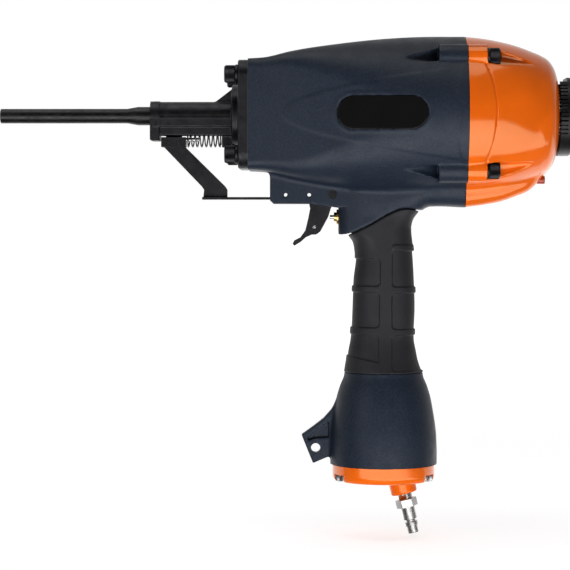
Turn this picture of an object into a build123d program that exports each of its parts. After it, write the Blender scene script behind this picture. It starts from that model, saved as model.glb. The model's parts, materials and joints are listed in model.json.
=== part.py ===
"""Pneumatic rivet gun: a long-nosed, single-shot driver with a sprung contact arm.

Units are millimetres.  The drive axis is the X axis.  The origin is the centre of the muzzle
face, the handle hangs down along -Z, and the gun's left side faces -Y.
"""
import os
from math import cos, radians, sin

from build123d import *

# ---- driving dimensions: stations along the drive axis, measured from the muzzle face
TAPER_START = 95.0
TAPER_END = 103.0
BARREL_REAR = 150.0
COLLAR_FRONT = 112.5
NOSE_FRONT = 119.5
NOSE_DISC = 173.5
FLANGE_FRONT = 178.7
FLANGE_REAR = 185.7
HOUSING_FRONT = 186.2
SLEEVE_FRONT = 192.0
BUMPER_REAR = 212.0
SLEEVE_REAR = 345.0
HOUSING_REAR = 346.5
CAP_FRONT = 347.0
CAP_REAR = 416.0
DEFLECTOR_REAR = 427.0

# ---- radii about the drive axis
BARREL_BORE = 3.6
BARREL_RADIUS = 5.45
JOURNAL_RADIUS = 6.9
BLADE_RADIUS = 3.3
SLEEVE_BORE = 28.0
SLEEVE_RADIUS = 31.0
BODY_REAR_RADIUS = 58.8
HEAD_VALVE_BORE = 40.05
STEM_RADIUS = 23.9

# ---- travel of the piston
PISTON_STROKE = 118.0

# ---- screws: half spacings of the two square patterns, and the M8 screw itself
FLANGE_HALF = 40.0
NOSE_SCREW_HALF = 29.5
CAP_SCREW_Y = 37.0
CAP_SCREW_Z = 41.4
M8_RADIUS = 4.0
M8_HEAD_RADIUS = 6.5
M8_HEAD = 8.0
WASHER = 2.0

# ---- handle
HANDLE_X = 286.9
GRIP_BOTTOM = -191.5
BULB_BOTTOM = -260.3
BULB_RADIUS = 40.0
END_CAP_TOP = -260.8
END_CAP_BOTTOM = -273.0
END_CAP_RADIUS = 38.65
RUBBER = 3.0

# ---- trigger group
PIVOT = (248.4, -59.1)
LEVER_PIVOT = (235.0, -83.0)
VALVE_Z = -75.5
NECK_FRONT = 253.0
CHEEK_OUTER = 18.0
CHEEK_INNER = 9.0

# ---- air plug: it leans back from the handle
PLUG_FOOT = (300.3, 0.0, -273.0)
PLUG_LEAN = radians(13.4)
PLUG_AXIS = (sin(PLUG_LEAN), 0.0, -cos(PLUG_LEAN))

SCREW_SIGNS = [(-1, -1), (-1, 1), (1, -1), (1, 1)]


def along_plug(distance):
    """A point on the air plug's axis, measured out of the end cap."""
    return tuple(foot + distance * part for foot, part in zip(PLUG_FOOT, PLUG_AXIS))


def turn(outline, height=0.0, mode=Mode.ADD):
    """Revolve an outline of (station, radius) about the line Z = height, parallel to X."""
    points = [(station, radius + height) for station, radius in outline]
    with BuildSketch(Plane.XZ) as profile:
        with BuildLine():
            Polyline(*points, close=True)
        make_face()
    revolve(profile.sketch, axis=Axis((0, 0, height), (1, 0, 0)), mode=mode)


def slab(outline, half_width, mode=Mode.ADD):
    """Extrude an outline of (x, z) to both sides of the middle plane."""
    with BuildSketch(Plane.XZ) as profile:
        with BuildLine():
            Polyline(*outline, close=True)
        make_face()
    extrude(profile.sketch, amount=half_width, both=True, mode=mode)


def block(x_range, y_half, z_range, mode=Mode.ADD):
    """A box given by its X range, half width and Z range."""
    outline = [
        (x_range[0], z_range[0]),
        (x_range[1], z_range[0]),
        (x_range[1], z_range[1]),
        (x_range[0], z_range[1]),
    ]
    slab(outline, y_half, mode)


def rod(start, direction, radius, length, mode=Mode.ADD):
    """A round bar from start, length long, in the given direction."""
    with BuildSketch(Plane(origin=start, z_dir=direction)) as disc:
        Circle(radius)
    extrude(disc.sketch, amount=length, mode=mode)


def cross_rod(x, z, radius, half_width, mode=Mode.ADD):
    """A round bar across the gun, centred on the middle plane."""
    rod((x, half_width, z), (0, -1, 0), radius, 2 * half_width, mode)


def coil(start, direction, mean_radius, wire_radius, length, turns):
    """A helical spring from start."""
    path = Helix(length / turns, length, mean_radius, center=start, direction=direction)
    with BuildSketch(Plane(origin=path @ 0, z_dir=path % 0)) as wire:
        Circle(wire_radius)
    sweep(wire.sketch, path=path, is_frenet=True)


def screw(start, shank_radius, shank, head_radius, head, socket_radius):
    """A socket head screw along X: start is under the head, and a negative shank points to -X."""
    x, y, z = start
    forward = 1 if shank > 0 else -1
    rod((x, y, z), (-forward, 0, 0), head_radius, head)
    rod((x, y, z), (forward, 0, 0), shank_radius, abs(shank))
    with BuildSketch(Plane(origin=(x - forward * head, y, z), z_dir=(-forward, 0, 0))) as socket:
        RegularPolygon(socket_radius, 6)
    extrude(socket.sketch, amount=-head * 0.55, mode=Mode.SUBTRACT)


def washer(x, y, z, outer, inner, thickness):
    """A flat ring whose front face is at x."""
    rod((x, y, z), (1, 0, 0), outer, thickness)
    rod((x, y, z), (1, 0, 0), inner, thickness, Mode.SUBTRACT)


# ======================================================================== nose group
BORE_STEP = 112.0
REAR_BORE = 4.2
TONGUE_X = (124.0, 136.0)
TONGUE_HALF = 2.8
TONGUE_TOP = -6.0

with BuildPart() as barrel_tube:
    turn(
        [
            (0, BARREL_BORE),
            (0, 4.95),
            (0.5, BARREL_RADIUS),
            (TAPER_START, BARREL_RADIUS),
            (TAPER_END, JOURNAL_RADIUS),
            (BARREL_REAR, JOURNAL_RADIUS),
            (BARREL_REAR, REAR_BORE),
            (BORE_STEP, REAR_BORE),
            (BORE_STEP, BARREL_BORE),
        ]
    )
    # milled seat for the shoe's tongue
    block(TONGUE_X, TONGUE_HALF, (TONGUE_TOP - 2, TONGUE_TOP), Mode.SUBTRACT)

NOSE_BORE = 6.98
NOSE_RADIUS = 10.6
NOSE_BORE_END = 163.0
COLLAR_RADIUS = 11.4
COLLAR_HALF = 10.8
COLLAR_BOTTOM = -18.8
DISC_RADIUS = 23.2
FLANGE_CORNER = 12.0
GUIDE_RADIUS = 6.0
SCREW_CLEARANCE = 0.25
KEEL_HALF = 9.5
KEEL_BOTTOM = -14.7
CHANNEL_HALF = 6.6
CHANNEL_ROOF = -11.2
SPRING_Z = -17.7
SPRING_SEAT = 166.0
SHOE_SLOT = (122.0, 150.0)

with BuildPart() as nose_body:
    turn([(NOSE_FRONT, 0), (NOSE_DISC, 0), (NOSE_DISC, NOSE_RADIUS), (NOSE_FRONT, NOSE_RADIUS)])
    block((NOSE_FRONT, NOSE_DISC), KEEL_HALF, (KEEL_BOTTOM, 0))
    # front collar, round above and square below
    turn([(COLLAR_FRONT, 0), (NOSE_FRONT, 0), (NOSE_FRONT, COLLAR_RADIUS), (COLLAR_FRONT, COLLAR_RADIUS)])
    block((COLLAR_FRONT, NOSE_FRONT), COLLAR_HALF, (COLLAR_BOTTOM, 0))
    # disc, flange plate, top gusset and spring seat
    turn([(NOSE_DISC, 0), (FLANGE_FRONT, 0), (FLANGE_FRONT, DISC_RADIUS), (NOSE_DISC, DISC_RADIUS)])
    with BuildSketch(Plane.YZ.offset(FLANGE_FRONT)) as flange:
        RectangleRounded(2 * FLANGE_HALF, 2 * FLANGE_HALF, FLANGE_CORNER)
    extrude(flange.sketch, amount=FLANGE_REAR - FLANGE_FRONT)
    slab([(160, 9), (NOSE_DISC, 9), (NOSE_DISC, 21.2)], 2.5)
    block((SPRING_SEAT, NOSE_DISC), 8, (-23.5, KEEL_BOTTOM))
    # spring channel under the keel, and the slot that lets the shoe reach the barrel
    block((NOSE_FRONT, SPRING_SEAT), CHANNEL_HALF, (KEEL_BOTTOM, CHANNEL_ROOF), Mode.SUBTRACT)
    block(SHOE_SLOT, 3.0, (CHANNEL_ROOF, 0), Mode.SUBTRACT)
    # bore for the barrel, then the blade guide's seat
    turn(
        [(COLLAR_FRONT, 0), (NOSE_BORE_END, 0), (NOSE_BORE_END, NOSE_BORE), (COLLAR_FRONT, NOSE_BORE)],
        mode=Mode.SUBTRACT,
    )
    turn(
        [(NOSE_BORE_END, 0), (FLANGE_REAR, 0), (FLANGE_REAR, GUIDE_RADIUS), (NOSE_BORE_END, GUIDE_RADIUS)],
        mode=Mode.SUBTRACT,
    )
    for y_sign, z_sign in SCREW_SIGNS:
        place = (FLANGE_FRONT, y_sign * NOSE_SCREW_HALF, z_sign * NOSE_SCREW_HALF)
        rod(place, (1, 0, 0), M8_RADIUS + SCREW_CLEARANCE, FLANGE_REAR - FLANGE_FRONT, Mode.SUBTRACT)

with BuildPart() as blade_guide:
    turn([(165, 3.4), (FLANGE_REAR, 3.4), (FLANGE_REAR, GUIDE_RADIUS), (165, GUIDE_RADIUS)])

with BuildPart() as nose_gasket:
    with BuildSketch(Plane.YZ.offset(FLANGE_REAR)) as sheet:
        RectangleRounded(2 * FLANGE_HALF, 2 * FLANGE_HALF, FLANGE_CORNER)
        Circle(SLEEVE_RADIUS + 0.1, mode=Mode.SUBTRACT)
        for y_sign, z_sign in SCREW_SIGNS:
            with Locations((y_sign * NOSE_SCREW_HALF, z_sign * NOSE_SCREW_HALF)):
                Circle(M8_RADIUS + SCREW_CLEARANCE, mode=Mode.SUBTRACT)
    extrude(sheet.sketch, amount=HOUSING_FRONT - FLANGE_REAR)

NOSE_SCREW_SEAT = FLANGE_FRONT - WASHER
NOSE_SHANK = 27.0
HEX_RADIUS = 3.4

with BuildPart() as nose_screws:
    for y_sign, z_sign in SCREW_SIGNS:
        seat = (NOSE_SCREW_SEAT, y_sign * NOSE_SCREW_HALF, z_sign * NOSE_SCREW_HALF)
        screw(seat, M8_RADIUS, NOSE_SHANK, M8_HEAD_RADIUS, M8_HEAD, HEX_RADIUS)

with BuildPart() as nose_lock_washers:
    for y_sign, z_sign in SCREW_SIGNS:
        y, z = y_sign * NOSE_SCREW_HALF, z_sign * NOSE_SCREW_HALF
        washer(NOSE_SCREW_SEAT, y, z, M8_HEAD_RADIUS + 0.5, M8_RADIUS + 0.1, WASHER)

# ======================================================================== contact arm group
SHOE_X = (120.7, 139.1)
SHOE_Z = (-23.2, -16.0)
SHOE_HALF = 8.0
ARM_HALF = 3.0
ARM_PIN_X = (126.0, 134.0)
ARM_PIN_Z = -19.8
ARM_PIN_RADIUS = 1.6
SHOE_SLOT_TOP = -17.2
WEB_FRONT = 137.0
GUIDE_PIN_RADIUS = 1.5
FOOT_FRONT = 151.2
FOOT_Z = (-62.5, -60.6)
LINK_END = 225.1

with BuildPart() as arm_shoe:
    block(SHOE_X, SHOE_HALF, SHOE_Z)
    block(TONGUE_X, TONGUE_HALF, (SHOE_Z[1], TONGUE_TOP))
    block(SHOE_X, ARM_HALF, (SHOE_Z[0], SHOE_SLOT_TOP), Mode.SUBTRACT)
    for x in ARM_PIN_X:
        cross_rod(x, ARM_PIN_Z, ARM_PIN_RADIUS, SHOE_HALF, Mode.SUBTRACT)
    # web that carries the spring guide
    block((WEB_FRONT, SHOE_X[1]), ARM_HALF, (SHOE_Z[0], SHOE_SLOT_TOP))
    rod((WEB_FRONT, 0, SPRING_Z), (1, 0, 0), GUIDE_PIN_RADIUS, 3, Mode.SUBTRACT)

with BuildPart() as contact_arm:
    slab(
        [
            (120.9, SHOE_SLOT_TOP),
            (WEB_FRONT, SHOE_SLOT_TOP),
            (WEB_FRONT, SHOE_Z[0]),
            (138.7, -23.4),
            (168.4, -52.7),
            (169.9, -55.2),
            (169.9, FOOT_Z[1]),
            (LINK_END, FOOT_Z[1]),
            (LINK_END, FOOT_Z[0]),
            (FOOT_FRONT, FOOT_Z[0]),
            (152, -60),
            (152.5, -55.2),
            (150.8, -52.7),
            (121, -21.7),
        ],
        ARM_HALF,
    )
    # the foot is bent out wider than the arm
    block((FOOT_FRONT, 200), 7.0, FOOT_Z)
    for x in ARM_PIN_X:
        cross_rod(x, ARM_PIN_Z, ARM_PIN_RADIUS, ARM_HALF, Mode.SUBTRACT)

with BuildPart() as arm_pins:
    for x in ARM_PIN_X:
        cross_rod(x, ARM_PIN_Z, ARM_PIN_RADIUS, SHOE_HALF + 0.3)

with BuildPart() as spring_guide:
    rod((WEB_FRONT, 0, SPRING_Z), (1, 0, 0), GUIDE_PIN_RADIUS, 11.6)

with BuildPart() as contact_spring:
    coil((139.9, 0, SPRING_Z), (1, 0, 0), 5.35, 0.55, 25.3, 7.5)

# ======================================================================== handle blanks
# (z, front x, rear x, half width) of the grip's outer surface, from the seam down
GRIP_STATIONS = [
    (-60.0, 262.0, 322.0, 22.5),
    (-72.0, 262.0, 311.5, 21.0),
    (-82.0, 262.0, 307.4, 20.0),
    (-100.0, 264.8, 309.0, 20.0),
    (-125.0, 263.2, 310.5, 20.5),
    (-160.0, 261.8, 310.5, 21.5),
    (-178.0, 259.4, 312.6, 24.5),
    (GRIP_BOTTOM, 257.2, 316.6, 29.0),
]


def handle_loft(inset):
    """Loft through the grip stations, drawn in by inset."""
    for z, front, rear, half_width in GRIP_STATIONS:
        half_depth = (rear - front) / 2
        corner = min(half_depth, half_width) - 2.5 - inset
        with BuildSketch(Plane.XY.offset(z)) as section:
            with Locations(((front + rear) / 2, 0)):
                RectangleRounded(2 * (half_depth - inset), 2 * (half_width - inset), corner)
        yield section.sketch


SEAM_FRONT = -88.4
KEEL_UNDERSIDE = -68.3
SEAM = [(259.7, SEAM_FRONT), (274.7, -81.9), (289.8, -73.4), (297.8, -69.8), (304.9, -69.3), (313.4, -70.7)]
# (x, half width) of the neck and the keel behind it, seen from above
NECK_PLAN = [(NECK_FRONT, 14.0), (258.0, 19.0), (296.0, 20.5), (318.0, 24.0), (HOUSING_REAR, 24.0)]

with BuildPart() as handle_core:
    loft(list(handle_loft(RUBBER)))

with BuildPart() as above_seam:
    slab([(240, SEAM_FRONT)] + SEAM + [(330, -70.7), (330, -40), (240, -40)], 60)

with BuildPart() as neck_blank:
    underside = [(320, KEEL_UNDERSIDE), (HOUSING_REAR, KEEL_UNDERSIDE)]
    slab([(NECK_FRONT, -40), (NECK_FRONT, SEAM_FRONT)] + SEAM + underside + [(HOUSING_REAR, -40)], 40)
    with BuildSketch(Plane.XY.offset(-100)) as plan:
        with BuildLine():
            Polyline(*NECK_PLAN, *[(x, -y) for x, y in reversed(NECK_PLAN)], close=True)
        make_face()
    extrude(plan.sketch, amount=80, mode=Mode.INTERSECT)

with BuildPart() as grip_sleeve:
    loft(list(handle_loft(0)))
    add(handle_core.part, mode=Mode.SUBTRACT)
    add(above_seam.part, mode=Mode.SUBTRACT)

# ======================================================================== name plate seats
PLATE_X = 284.2
PLATE_LENGTH = 66.3
PLATE_HEIGHT = 24.2
PLATE_SLOPE = 0.095
PLATE_Y = 55.3

# ======================================================================== main housing
# (x, half height, corner radius): square at the nose flange and round at the cap
BODY_STATIONS = [
    (HOUSING_FRONT, 40.6, 12.0),
    (217.0, 46.0, 20.0),
    (253.0, 52.1, 34.0),
    (300.0, 57.4, 48.0),
    (HOUSING_REAR, BODY_REAR_RADIUS, BODY_REAR_RADIUS - 0.2),
]
SLEEVE_CLEARANCE = 0.05
BORE_OUTLINE = [
    (HOUSING_FRONT, 0),
    (HOUSING_FRONT, SLEEVE_RADIUS + SLEEVE_CLEARANCE),
    (206, SLEEVE_RADIUS + SLEEVE_CLEARANCE),
    (206, 35.5),
    (250, 44),
    (300, 49),
    (HOUSING_REAR, 50.5),
    (HOUSING_REAR, 0),
]
TRIGGER_BOX = [
    (202, -35),
    (202, -63.2),
    (204.5, -65.7),
    (231, -65.7),
    (NECK_FRONT, -68.5),
    (NECK_FRONT, -35),
]
CHEEK_HOLE_X = (213.5, 231.1)
CHEEK_HOLE_Z = -58.9
BOSS_RADIUS = 8.5
LUG_HOLE = (236.0, -248.5)
LUG_HALF = 4.5
LUG_POCKET = [(246.0, -227.0), (246.4, -241.4), (234.0, -242.5), (230.8, -244.0), (228.6, -240.7)]
CHAMBER_RADIUS = 30.0
CHAMBER = [
    (HANDLE_X, -203),
    (HANDLE_X + 14, -203),
    (HANDLE_X + CHAMBER_RADIUS, -226),
    (HANDLE_X + CHAMBER_RADIUS, BULB_BOTTOM),
    (HANDLE_X, BULB_BOTTOM),
]
END_SCREW_X = 32.0
END_SCREW_Y = 13.0


def plate_plane(side, lift):
    """Plane of the side plate; side is -1 for the left and 1 for the right."""
    tangent = (1, side * PLATE_SLOPE, 0)
    normal = (-PLATE_SLOPE, side, 0)
    base = Plane(origin=(PLATE_X, side * PLATE_Y, 0.3), x_dir=tangent, z_dir=normal)
    return base.offset(lift)


def stadium(plane, length, height, thickness, mode=Mode.ADD):
    """A round-ended plate, thickness deep along the plane's normal."""
    with BuildSketch(plane) as outline:
        SlotOverall(length, height)
    extrude(outline.sketch, amount=thickness, mode=mode)


with BuildPart() as main_housing:
    sections = []
    for x, half, corner in BODY_STATIONS:
        with BuildSketch(Plane.YZ.offset(x)) as section:
            RectangleRounded(2 * half, 2 * half, corner)
        sections.append(section.sketch)
    loft(sections)
    # trigger box, neck, handle core and flared handle bottom
    slab(TRIGGER_BOX, CHEEK_OUTER)
    add(neck_blank.part)
    add(handle_core.part)
    with BuildSketch(Plane.XZ) as bulb:
        with BuildLine():
            flank = Spline(
                (HANDLE_X + 29.5, GRIP_BOTTOM),
                (HANDLE_X + 34.0, -205),
                (HANDLE_X + 37.6, -222),
                (HANDLE_X + BULB_RADIUS, -247),
            )
            Polyline(
                flank @ 1,
                (HANDLE_X + BULB_RADIUS, BULB_BOTTOM),
                (HANDLE_X, BULB_BOTTOM),
                (HANDLE_X, GRIP_BOTTOM),
                flank @ 0,
            )
        make_face()
    revolve(bulb.sketch, axis=Axis((HANDLE_X, 0, 0), (0, 0, 1)))
    # hanging lug
    slab(
        [
            (225.4, -238.7),
            (234.0, -260.2),
            (246.9, -254.5),
            (249.0, -255.8),
            (262.0, -255.8),
            (262.0, -213.8),
            (251.9, -213.8),
            (247.6, -219.9),
            (241.9, -226.3),
            (234.7, -232.0),
        ],
        LUG_HALF,
    )
    # bosses for the cap screws, and rims for the side plates
    for y_sign, z_sign in SCREW_SIGNS:
        rod((324, y_sign * CAP_SCREW_Y, z_sign * CAP_SCREW_Z), (1, 0, 0), BOSS_RADIUS, HOUSING_REAR - 324)
    for side in (-1, 1):
        stadium(plate_plane(side, -4), PLATE_LENGTH + 6, PLATE_HEIGHT + 6, 4.4)
        stadium(plate_plane(side, -1.2), PLATE_LENGTH, PLATE_HEIGHT, 3, Mode.SUBTRACT)
    # cylinder bore and the air reservoir around the sleeve
    turn(BORE_OUTLINE, mode=Mode.SUBTRACT)
    # hollow handle, open at the bottom, and the passage up to the reservoir
    with BuildSketch(Plane.XY.offset(-205)) as duct:
        with Locations((HANDLE_X - 0.6, 0)):
            RectangleRounded(30, 26, 9)
    extrude(duct.sketch, amount=160, mode=Mode.SUBTRACT)
    with BuildSketch(Plane.XZ) as chamber:
        with BuildLine():
            Polyline(*CHAMBER, close=True)
        make_face()
    revolve(chamber.sketch, axis=Axis((HANDLE_X, 0, 0), (0, 0, 1)), mode=Mode.SUBTRACT)
    # trigger slot, valve bore and cross holes
    block((200, NECK_FRONT), CHEEK_INNER, (-75, -50.5), Mode.SUBTRACT)
    turn([(NECK_FRONT - 1, 0), (278, 0), (278, 5.0), (NECK_FRONT - 1, 5.0)], VALVE_Z, Mode.SUBTRACT)
    cross_rod(PIVOT[0], PIVOT[1], 2.12, 30, Mode.SUBTRACT)
    for x in CHEEK_HOLE_X:
        cross_rod(x, CHEEK_HOLE_Z, 1.5, 30, Mode.SUBTRACT)
    cross_rod(LUG_HOLE[0], LUG_HOLE[1], 3.5, 10, Mode.SUBTRACT)
    # screw holes
    for y_sign, z_sign in SCREW_SIGNS:
        front = (HOUSING_FRONT, y_sign * NOSE_SCREW_HALF, z_sign * NOSE_SCREW_HALF)
        rod(front, (1, 0, 0), M8_RADIUS, 19, Mode.SUBTRACT)
        rear = (HOUSING_REAR, y_sign * CAP_SCREW_Y, z_sign * CAP_SCREW_Z)
        rod(rear, (-1, 0, 0), M8_RADIUS, 20, Mode.SUBTRACT)
        foot = (HANDLE_X + y_sign * END_SCREW_X, z_sign * END_SCREW_Y, BULB_BOTTOM)
        rod(foot, (0, 0, 1), 2.5, 16, Mode.SUBTRACT)
    # triangular pockets in the lug
    for y in (-LUG_HALF, LUG_HALF):
        with BuildSketch(Plane.XZ.offset(-y)) as pocket:
            with BuildLine():
                Polyline(*LUG_POCKET, close=True)
            make_face()
        extrude(pocket.sketch, amount=2.5, both=True, mode=Mode.SUBTRACT)

with BuildPart() as name_plates:
    for side in (-1, 1):
        stadium(plate_plane(side, -1.2), PLATE_LENGTH - 0.2, PLATE_HEIGHT - 0.2, 1.3)

# ======================================================================== cylinder group
O_RING_X = (195.0, 201.0)
O_RING = 2.4
O_RING_SEAT = 29.4

with BuildPart() as cylinder_sleeve:
    turn(
        [
            (SLEEVE_FRONT, SLEEVE_BORE),
            (SLEEVE_REAR, SLEEVE_BORE),
            (SLEEVE_REAR, SLEEVE_RADIUS),
            (SLEEVE_FRONT, SLEEVE_RADIUS),
        ]
    )
    for x in O_RING_X:
        turn([(x, O_RING_SEAT), (x + O_RING, O_RING_SEAT), (x + O_RING, 32), (x, 32)], mode=Mode.SUBTRACT)

with BuildPart() as cylinder_o_rings:
    for x in O_RING_X:
        crown = SLEEVE_RADIUS + 0.04
        turn([(x, O_RING_SEAT), (x + O_RING, O_RING_SEAT), (x + O_RING, crown), (x, crown)])

with BuildPart() as bumper:
    turn(
        [
            (HOUSING_FRONT, 9),
            (BUMPER_REAR - 4, 6),
            (BUMPER_REAR, 8),
            (BUMPER_REAR, 24),
            (BUMPER_REAR - 4, SLEEVE_BORE - 0.2),
            (SLEEVE_FRONT, SLEEVE_BORE - 0.2),
            (SLEEVE_FRONT, SLEEVE_RADIUS - 0.2),
            (HOUSING_FRONT, SLEEVE_RADIUS - 0.2),
        ]
    )

PISTON_FRONT = BUMPER_REAR + 0.3 + PISTON_STROKE
PISTON_REAR = 344.0
PISTON_RADIUS = 27.9
PISTON_DISH = PISTON_REAR - 4
RING_X = (335.0, 339.0)
RING_SEAT = 25.5
BLADE_TIP = 119.0

RING_GROOVE = [(RING_X[0], RING_SEAT), (RING_X[1], RING_SEAT), (RING_X[1], 29), (RING_X[0], 29)]

with BuildPart() as piston:
    turn(
        [
            (PISTON_FRONT, BLADE_RADIUS),
            (PISTON_FRONT, PISTON_RADIUS),
            (PISTON_REAR, PISTON_RADIUS),
            (PISTON_REAR, 20),
            (PISTON_DISH, 16),
            (PISTON_DISH, BLADE_RADIUS),
        ]
    )
    turn(RING_GROOVE, mode=Mode.SUBTRACT)

with BuildPart() as piston_ring:
    turn([(RING_X[0], RING_SEAT), (RING_X[1], RING_SEAT), (RING_X[1], 27.95), (RING_X[0], 27.95)])

with BuildPart() as driver_blade:
    turn(
        [
            (BLADE_TIP, 0),
            (BLADE_TIP, 3.0),
            (BLADE_TIP + 0.3, BLADE_RADIUS),
            (PISTON_DISH, BLADE_RADIUS),
            (PISTON_DISH, 0),
        ]
    )

# ======================================================================== cylinder cap group
CAP_PROFILE = [
    (354.8, 58.1),
    (372.8, 55.1),
    (390.8, 49.8),
    (402.8, 45.3),
    (408.8, 42.3),
    (412.1, 39.3),
]
LOBE = [
    (CAP_FRONT, -20),
    (CAP_FRONT, -68.3),
    (354.8, -67.2),
    (366.8, -65.7),
    (378.8, -62.7),
    (390.8, -57.4),
    (396.8, -55.2),
    (401.0, -51.0),
    (404.0, -43.0),
    (404.0, -20),
]
HEAD_SEAT = 361.0
DISH_RADIUS = 31.2
PLUG_HOLE = (391.0, 0.0, -47.8)
POCKET_RADIUS = 7.6
POCKET_PLAIN = 12.0
STEM_FRONT = 352.0
EXHAUST_BORE = 20.0
VALVE_BORE_OUTLINE = [
    (CAP_FRONT, 0),
    (STEM_FRONT, 0),
    (STEM_FRONT, STEM_RADIUS),
    (376, STEM_RADIUS),
    (376, HEAD_VALVE_BORE),
    (CAP_FRONT, HEAD_VALVE_BORE),
]
EXHAUST_CHAMBER = [
    (STEM_FRONT, 0),
    (392, 0),
    (392, 8),
    (402, 8),
    (402, EXHAUST_BORE),
    (STEM_FRONT, EXHAUST_BORE),
]
DEFLECTOR_SCREW = (396.0, 0.0, 0.0)
DEFLECTOR_SCREW_RADIUS = 3.0

with BuildPart() as cylinder_cap:
    with BuildSketch(Plane.XZ) as dome:
        with BuildLine():
            crown = Spline((CAP_FRONT, BODY_REAR_RADIUS), *CAP_PROFILE, (CAP_REAR, DISH_RADIUS))
            Polyline(crown @ 1, (CAP_REAR, 0), (CAP_FRONT, 0), crown @ 0)
        make_face()
    revolve(dome.sketch, axis=Axis.X)
    slab(LOBE, 22)
    for y_sign, z_sign in SCREW_SIGNS:
        foot = (CAP_FRONT, y_sign * CAP_SCREW_Y, z_sign * CAP_SCREW_Z)
        rod(foot, (1, 0, 0), BOSS_RADIUS, HEAD_SEAT - CAP_FRONT)
    # pockets behind the screw heads
    for y_sign, z_sign in SCREW_SIGNS:
        y, z = y_sign * CAP_SCREW_Y, z_sign * CAP_SCREW_Z
        rod((HEAD_SEAT, y, z), (1, 0, 0), POCKET_RADIUS, POCKET_PLAIN, Mode.SUBTRACT)
        with BuildSketch(Plane(origin=(HEAD_SEAT + POCKET_PLAIN, y, z), z_dir=(1, 0, 0))) as mouth:
            Circle(POCKET_RADIUS)
        extrude(mouth.sketch, amount=22, taper=15, mode=Mode.SUBTRACT)
        rod((CAP_FRONT, y, z), (1, 0, 0), M8_RADIUS + SCREW_CLEARANCE, HEAD_SEAT - CAP_FRONT, Mode.SUBTRACT)
    # head valve bore around the exhaust stem, and the signal air groove around that
    turn(VALVE_BORE_OUTLINE, mode=Mode.SUBTRACT)
    turn([(CAP_FRONT, 43), (378, 43), (378, 49), (CAP_FRONT, 49)], mode=Mode.SUBTRACT)
    # exhaust chamber, its six outlets and the deflector screw's hole
    turn(EXHAUST_CHAMBER, mode=Mode.SUBTRACT)
    for number in range(6):
        angle = radians(60 * number + 30)
        rod((400, 15 * cos(angle), 15 * sin(angle)), (1, 0, 0), 4.5, 20, Mode.SUBTRACT)
    rod(DEFLECTOR_SCREW, (1, 0, 0), DEFLECTOR_SCREW_RADIUS, 30, Mode.SUBTRACT)
    rod(PLUG_HOLE, (1, 0, 0), 3.0, 30, Mode.SUBTRACT)

with BuildPart() as cap_gasket:
    with BuildSketch(Plane.YZ.offset(HOUSING_REAR)) as sheet:
        Circle(BODY_REAR_RADIUS - 0.2)
        Circle(50.5, mode=Mode.SUBTRACT)
        for y_sign, z_sign in SCREW_SIGNS:
            with Locations((y_sign * CAP_SCREW_Y, z_sign * CAP_SCREW_Z)):
                Circle(M8_RADIUS + SCREW_CLEARANCE, mode=Mode.SUBTRACT)
    extrude(sheet.sketch, amount=CAP_FRONT - HOUSING_REAR)

CAP_WASHER = 1.6
CAP_SHANK = HEAD_SEAT + CAP_WASHER - HOUSING_REAR + 19

with BuildPart() as cap_screws:
    for y_sign, z_sign in SCREW_SIGNS:
        seat = (HEAD_SEAT + CAP_WASHER, y_sign * CAP_SCREW_Y, z_sign * CAP_SCREW_Z)
        screw(seat, M8_RADIUS, -CAP_SHANK, M8_HEAD_RADIUS, M8_HEAD, HEX_RADIUS)

with BuildPart() as cap_lock_washers:
    for y_sign, z_sign in SCREW_SIGNS:
        y, z = y_sign * CAP_SCREW_Y, z_sign * CAP_SCREW_Z
        washer(HEAD_SEAT, y, z, M8_HEAD_RADIUS + 0.4, M8_RADIUS + 0.1, CAP_WASHER)

with BuildPart() as passage_plug:
    rod(PLUG_HOLE, (1, 0, 0), 3.0, 16.2)

VALVE_FRONT = SLEEVE_REAR + 0.3
VALVE_REAR = 358.0
VALVE_INNER = 24.0
VALVE_OUTER = 39.95
VALVE_RING_X = (349.5, 352.0)
VALVE_RING_SEAT = 38.4

with BuildPart() as head_valve:
    turn(
        [
            (VALVE_FRONT, VALVE_INNER),
            (VALVE_REAR, VALVE_INNER),
            (VALVE_REAR, 30),
            (353, 30),
            (353, 38),
            (VALVE_REAR, 38),
            (VALVE_REAR, VALVE_OUTER),
            (VALVE_RING_X[1], VALVE_OUTER),
            (VALVE_RING_X[1], VALVE_RING_SEAT),
            (VALVE_RING_X[0], VALVE_RING_SEAT),
            (VALVE_RING_X[0], VALVE_OUTER),
            (VALVE_FRONT, VALVE_OUTER),
        ]
    )

with BuildPart() as head_valve_o_ring:
    turn(
        [
            (VALVE_RING_X[0], VALVE_RING_SEAT),
            (VALVE_RING_X[1], VALVE_RING_SEAT),
            (VALVE_RING_X[1], 40.0),
            (VALVE_RING_X[0], 40.0),
        ]
    )

with BuildPart() as head_valve_spring:
    coil((354.6, 0, 0), (1, 0, 0), 34, 1.2, 20, 4)

# ======================================================================== exhaust deflector
DEFLECTOR_FRONT = CAP_REAR + 0.3
DEFLECTOR_RADIUS = 30.0
DEFLECTOR_INNER = 26.5
DEFLECTOR_PLATE = 422.0
SCREW_HOLE = 3.08
COUNTERBORE = 5.6
COUNTERBORE_FLOOR = DEFLECTOR_REAR - 2.7
LOUVRES = 13
LOUVRE_START = radians(-28)
LOUVRE_STEP = radians(74) / (LOUVRES - 1)

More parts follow.
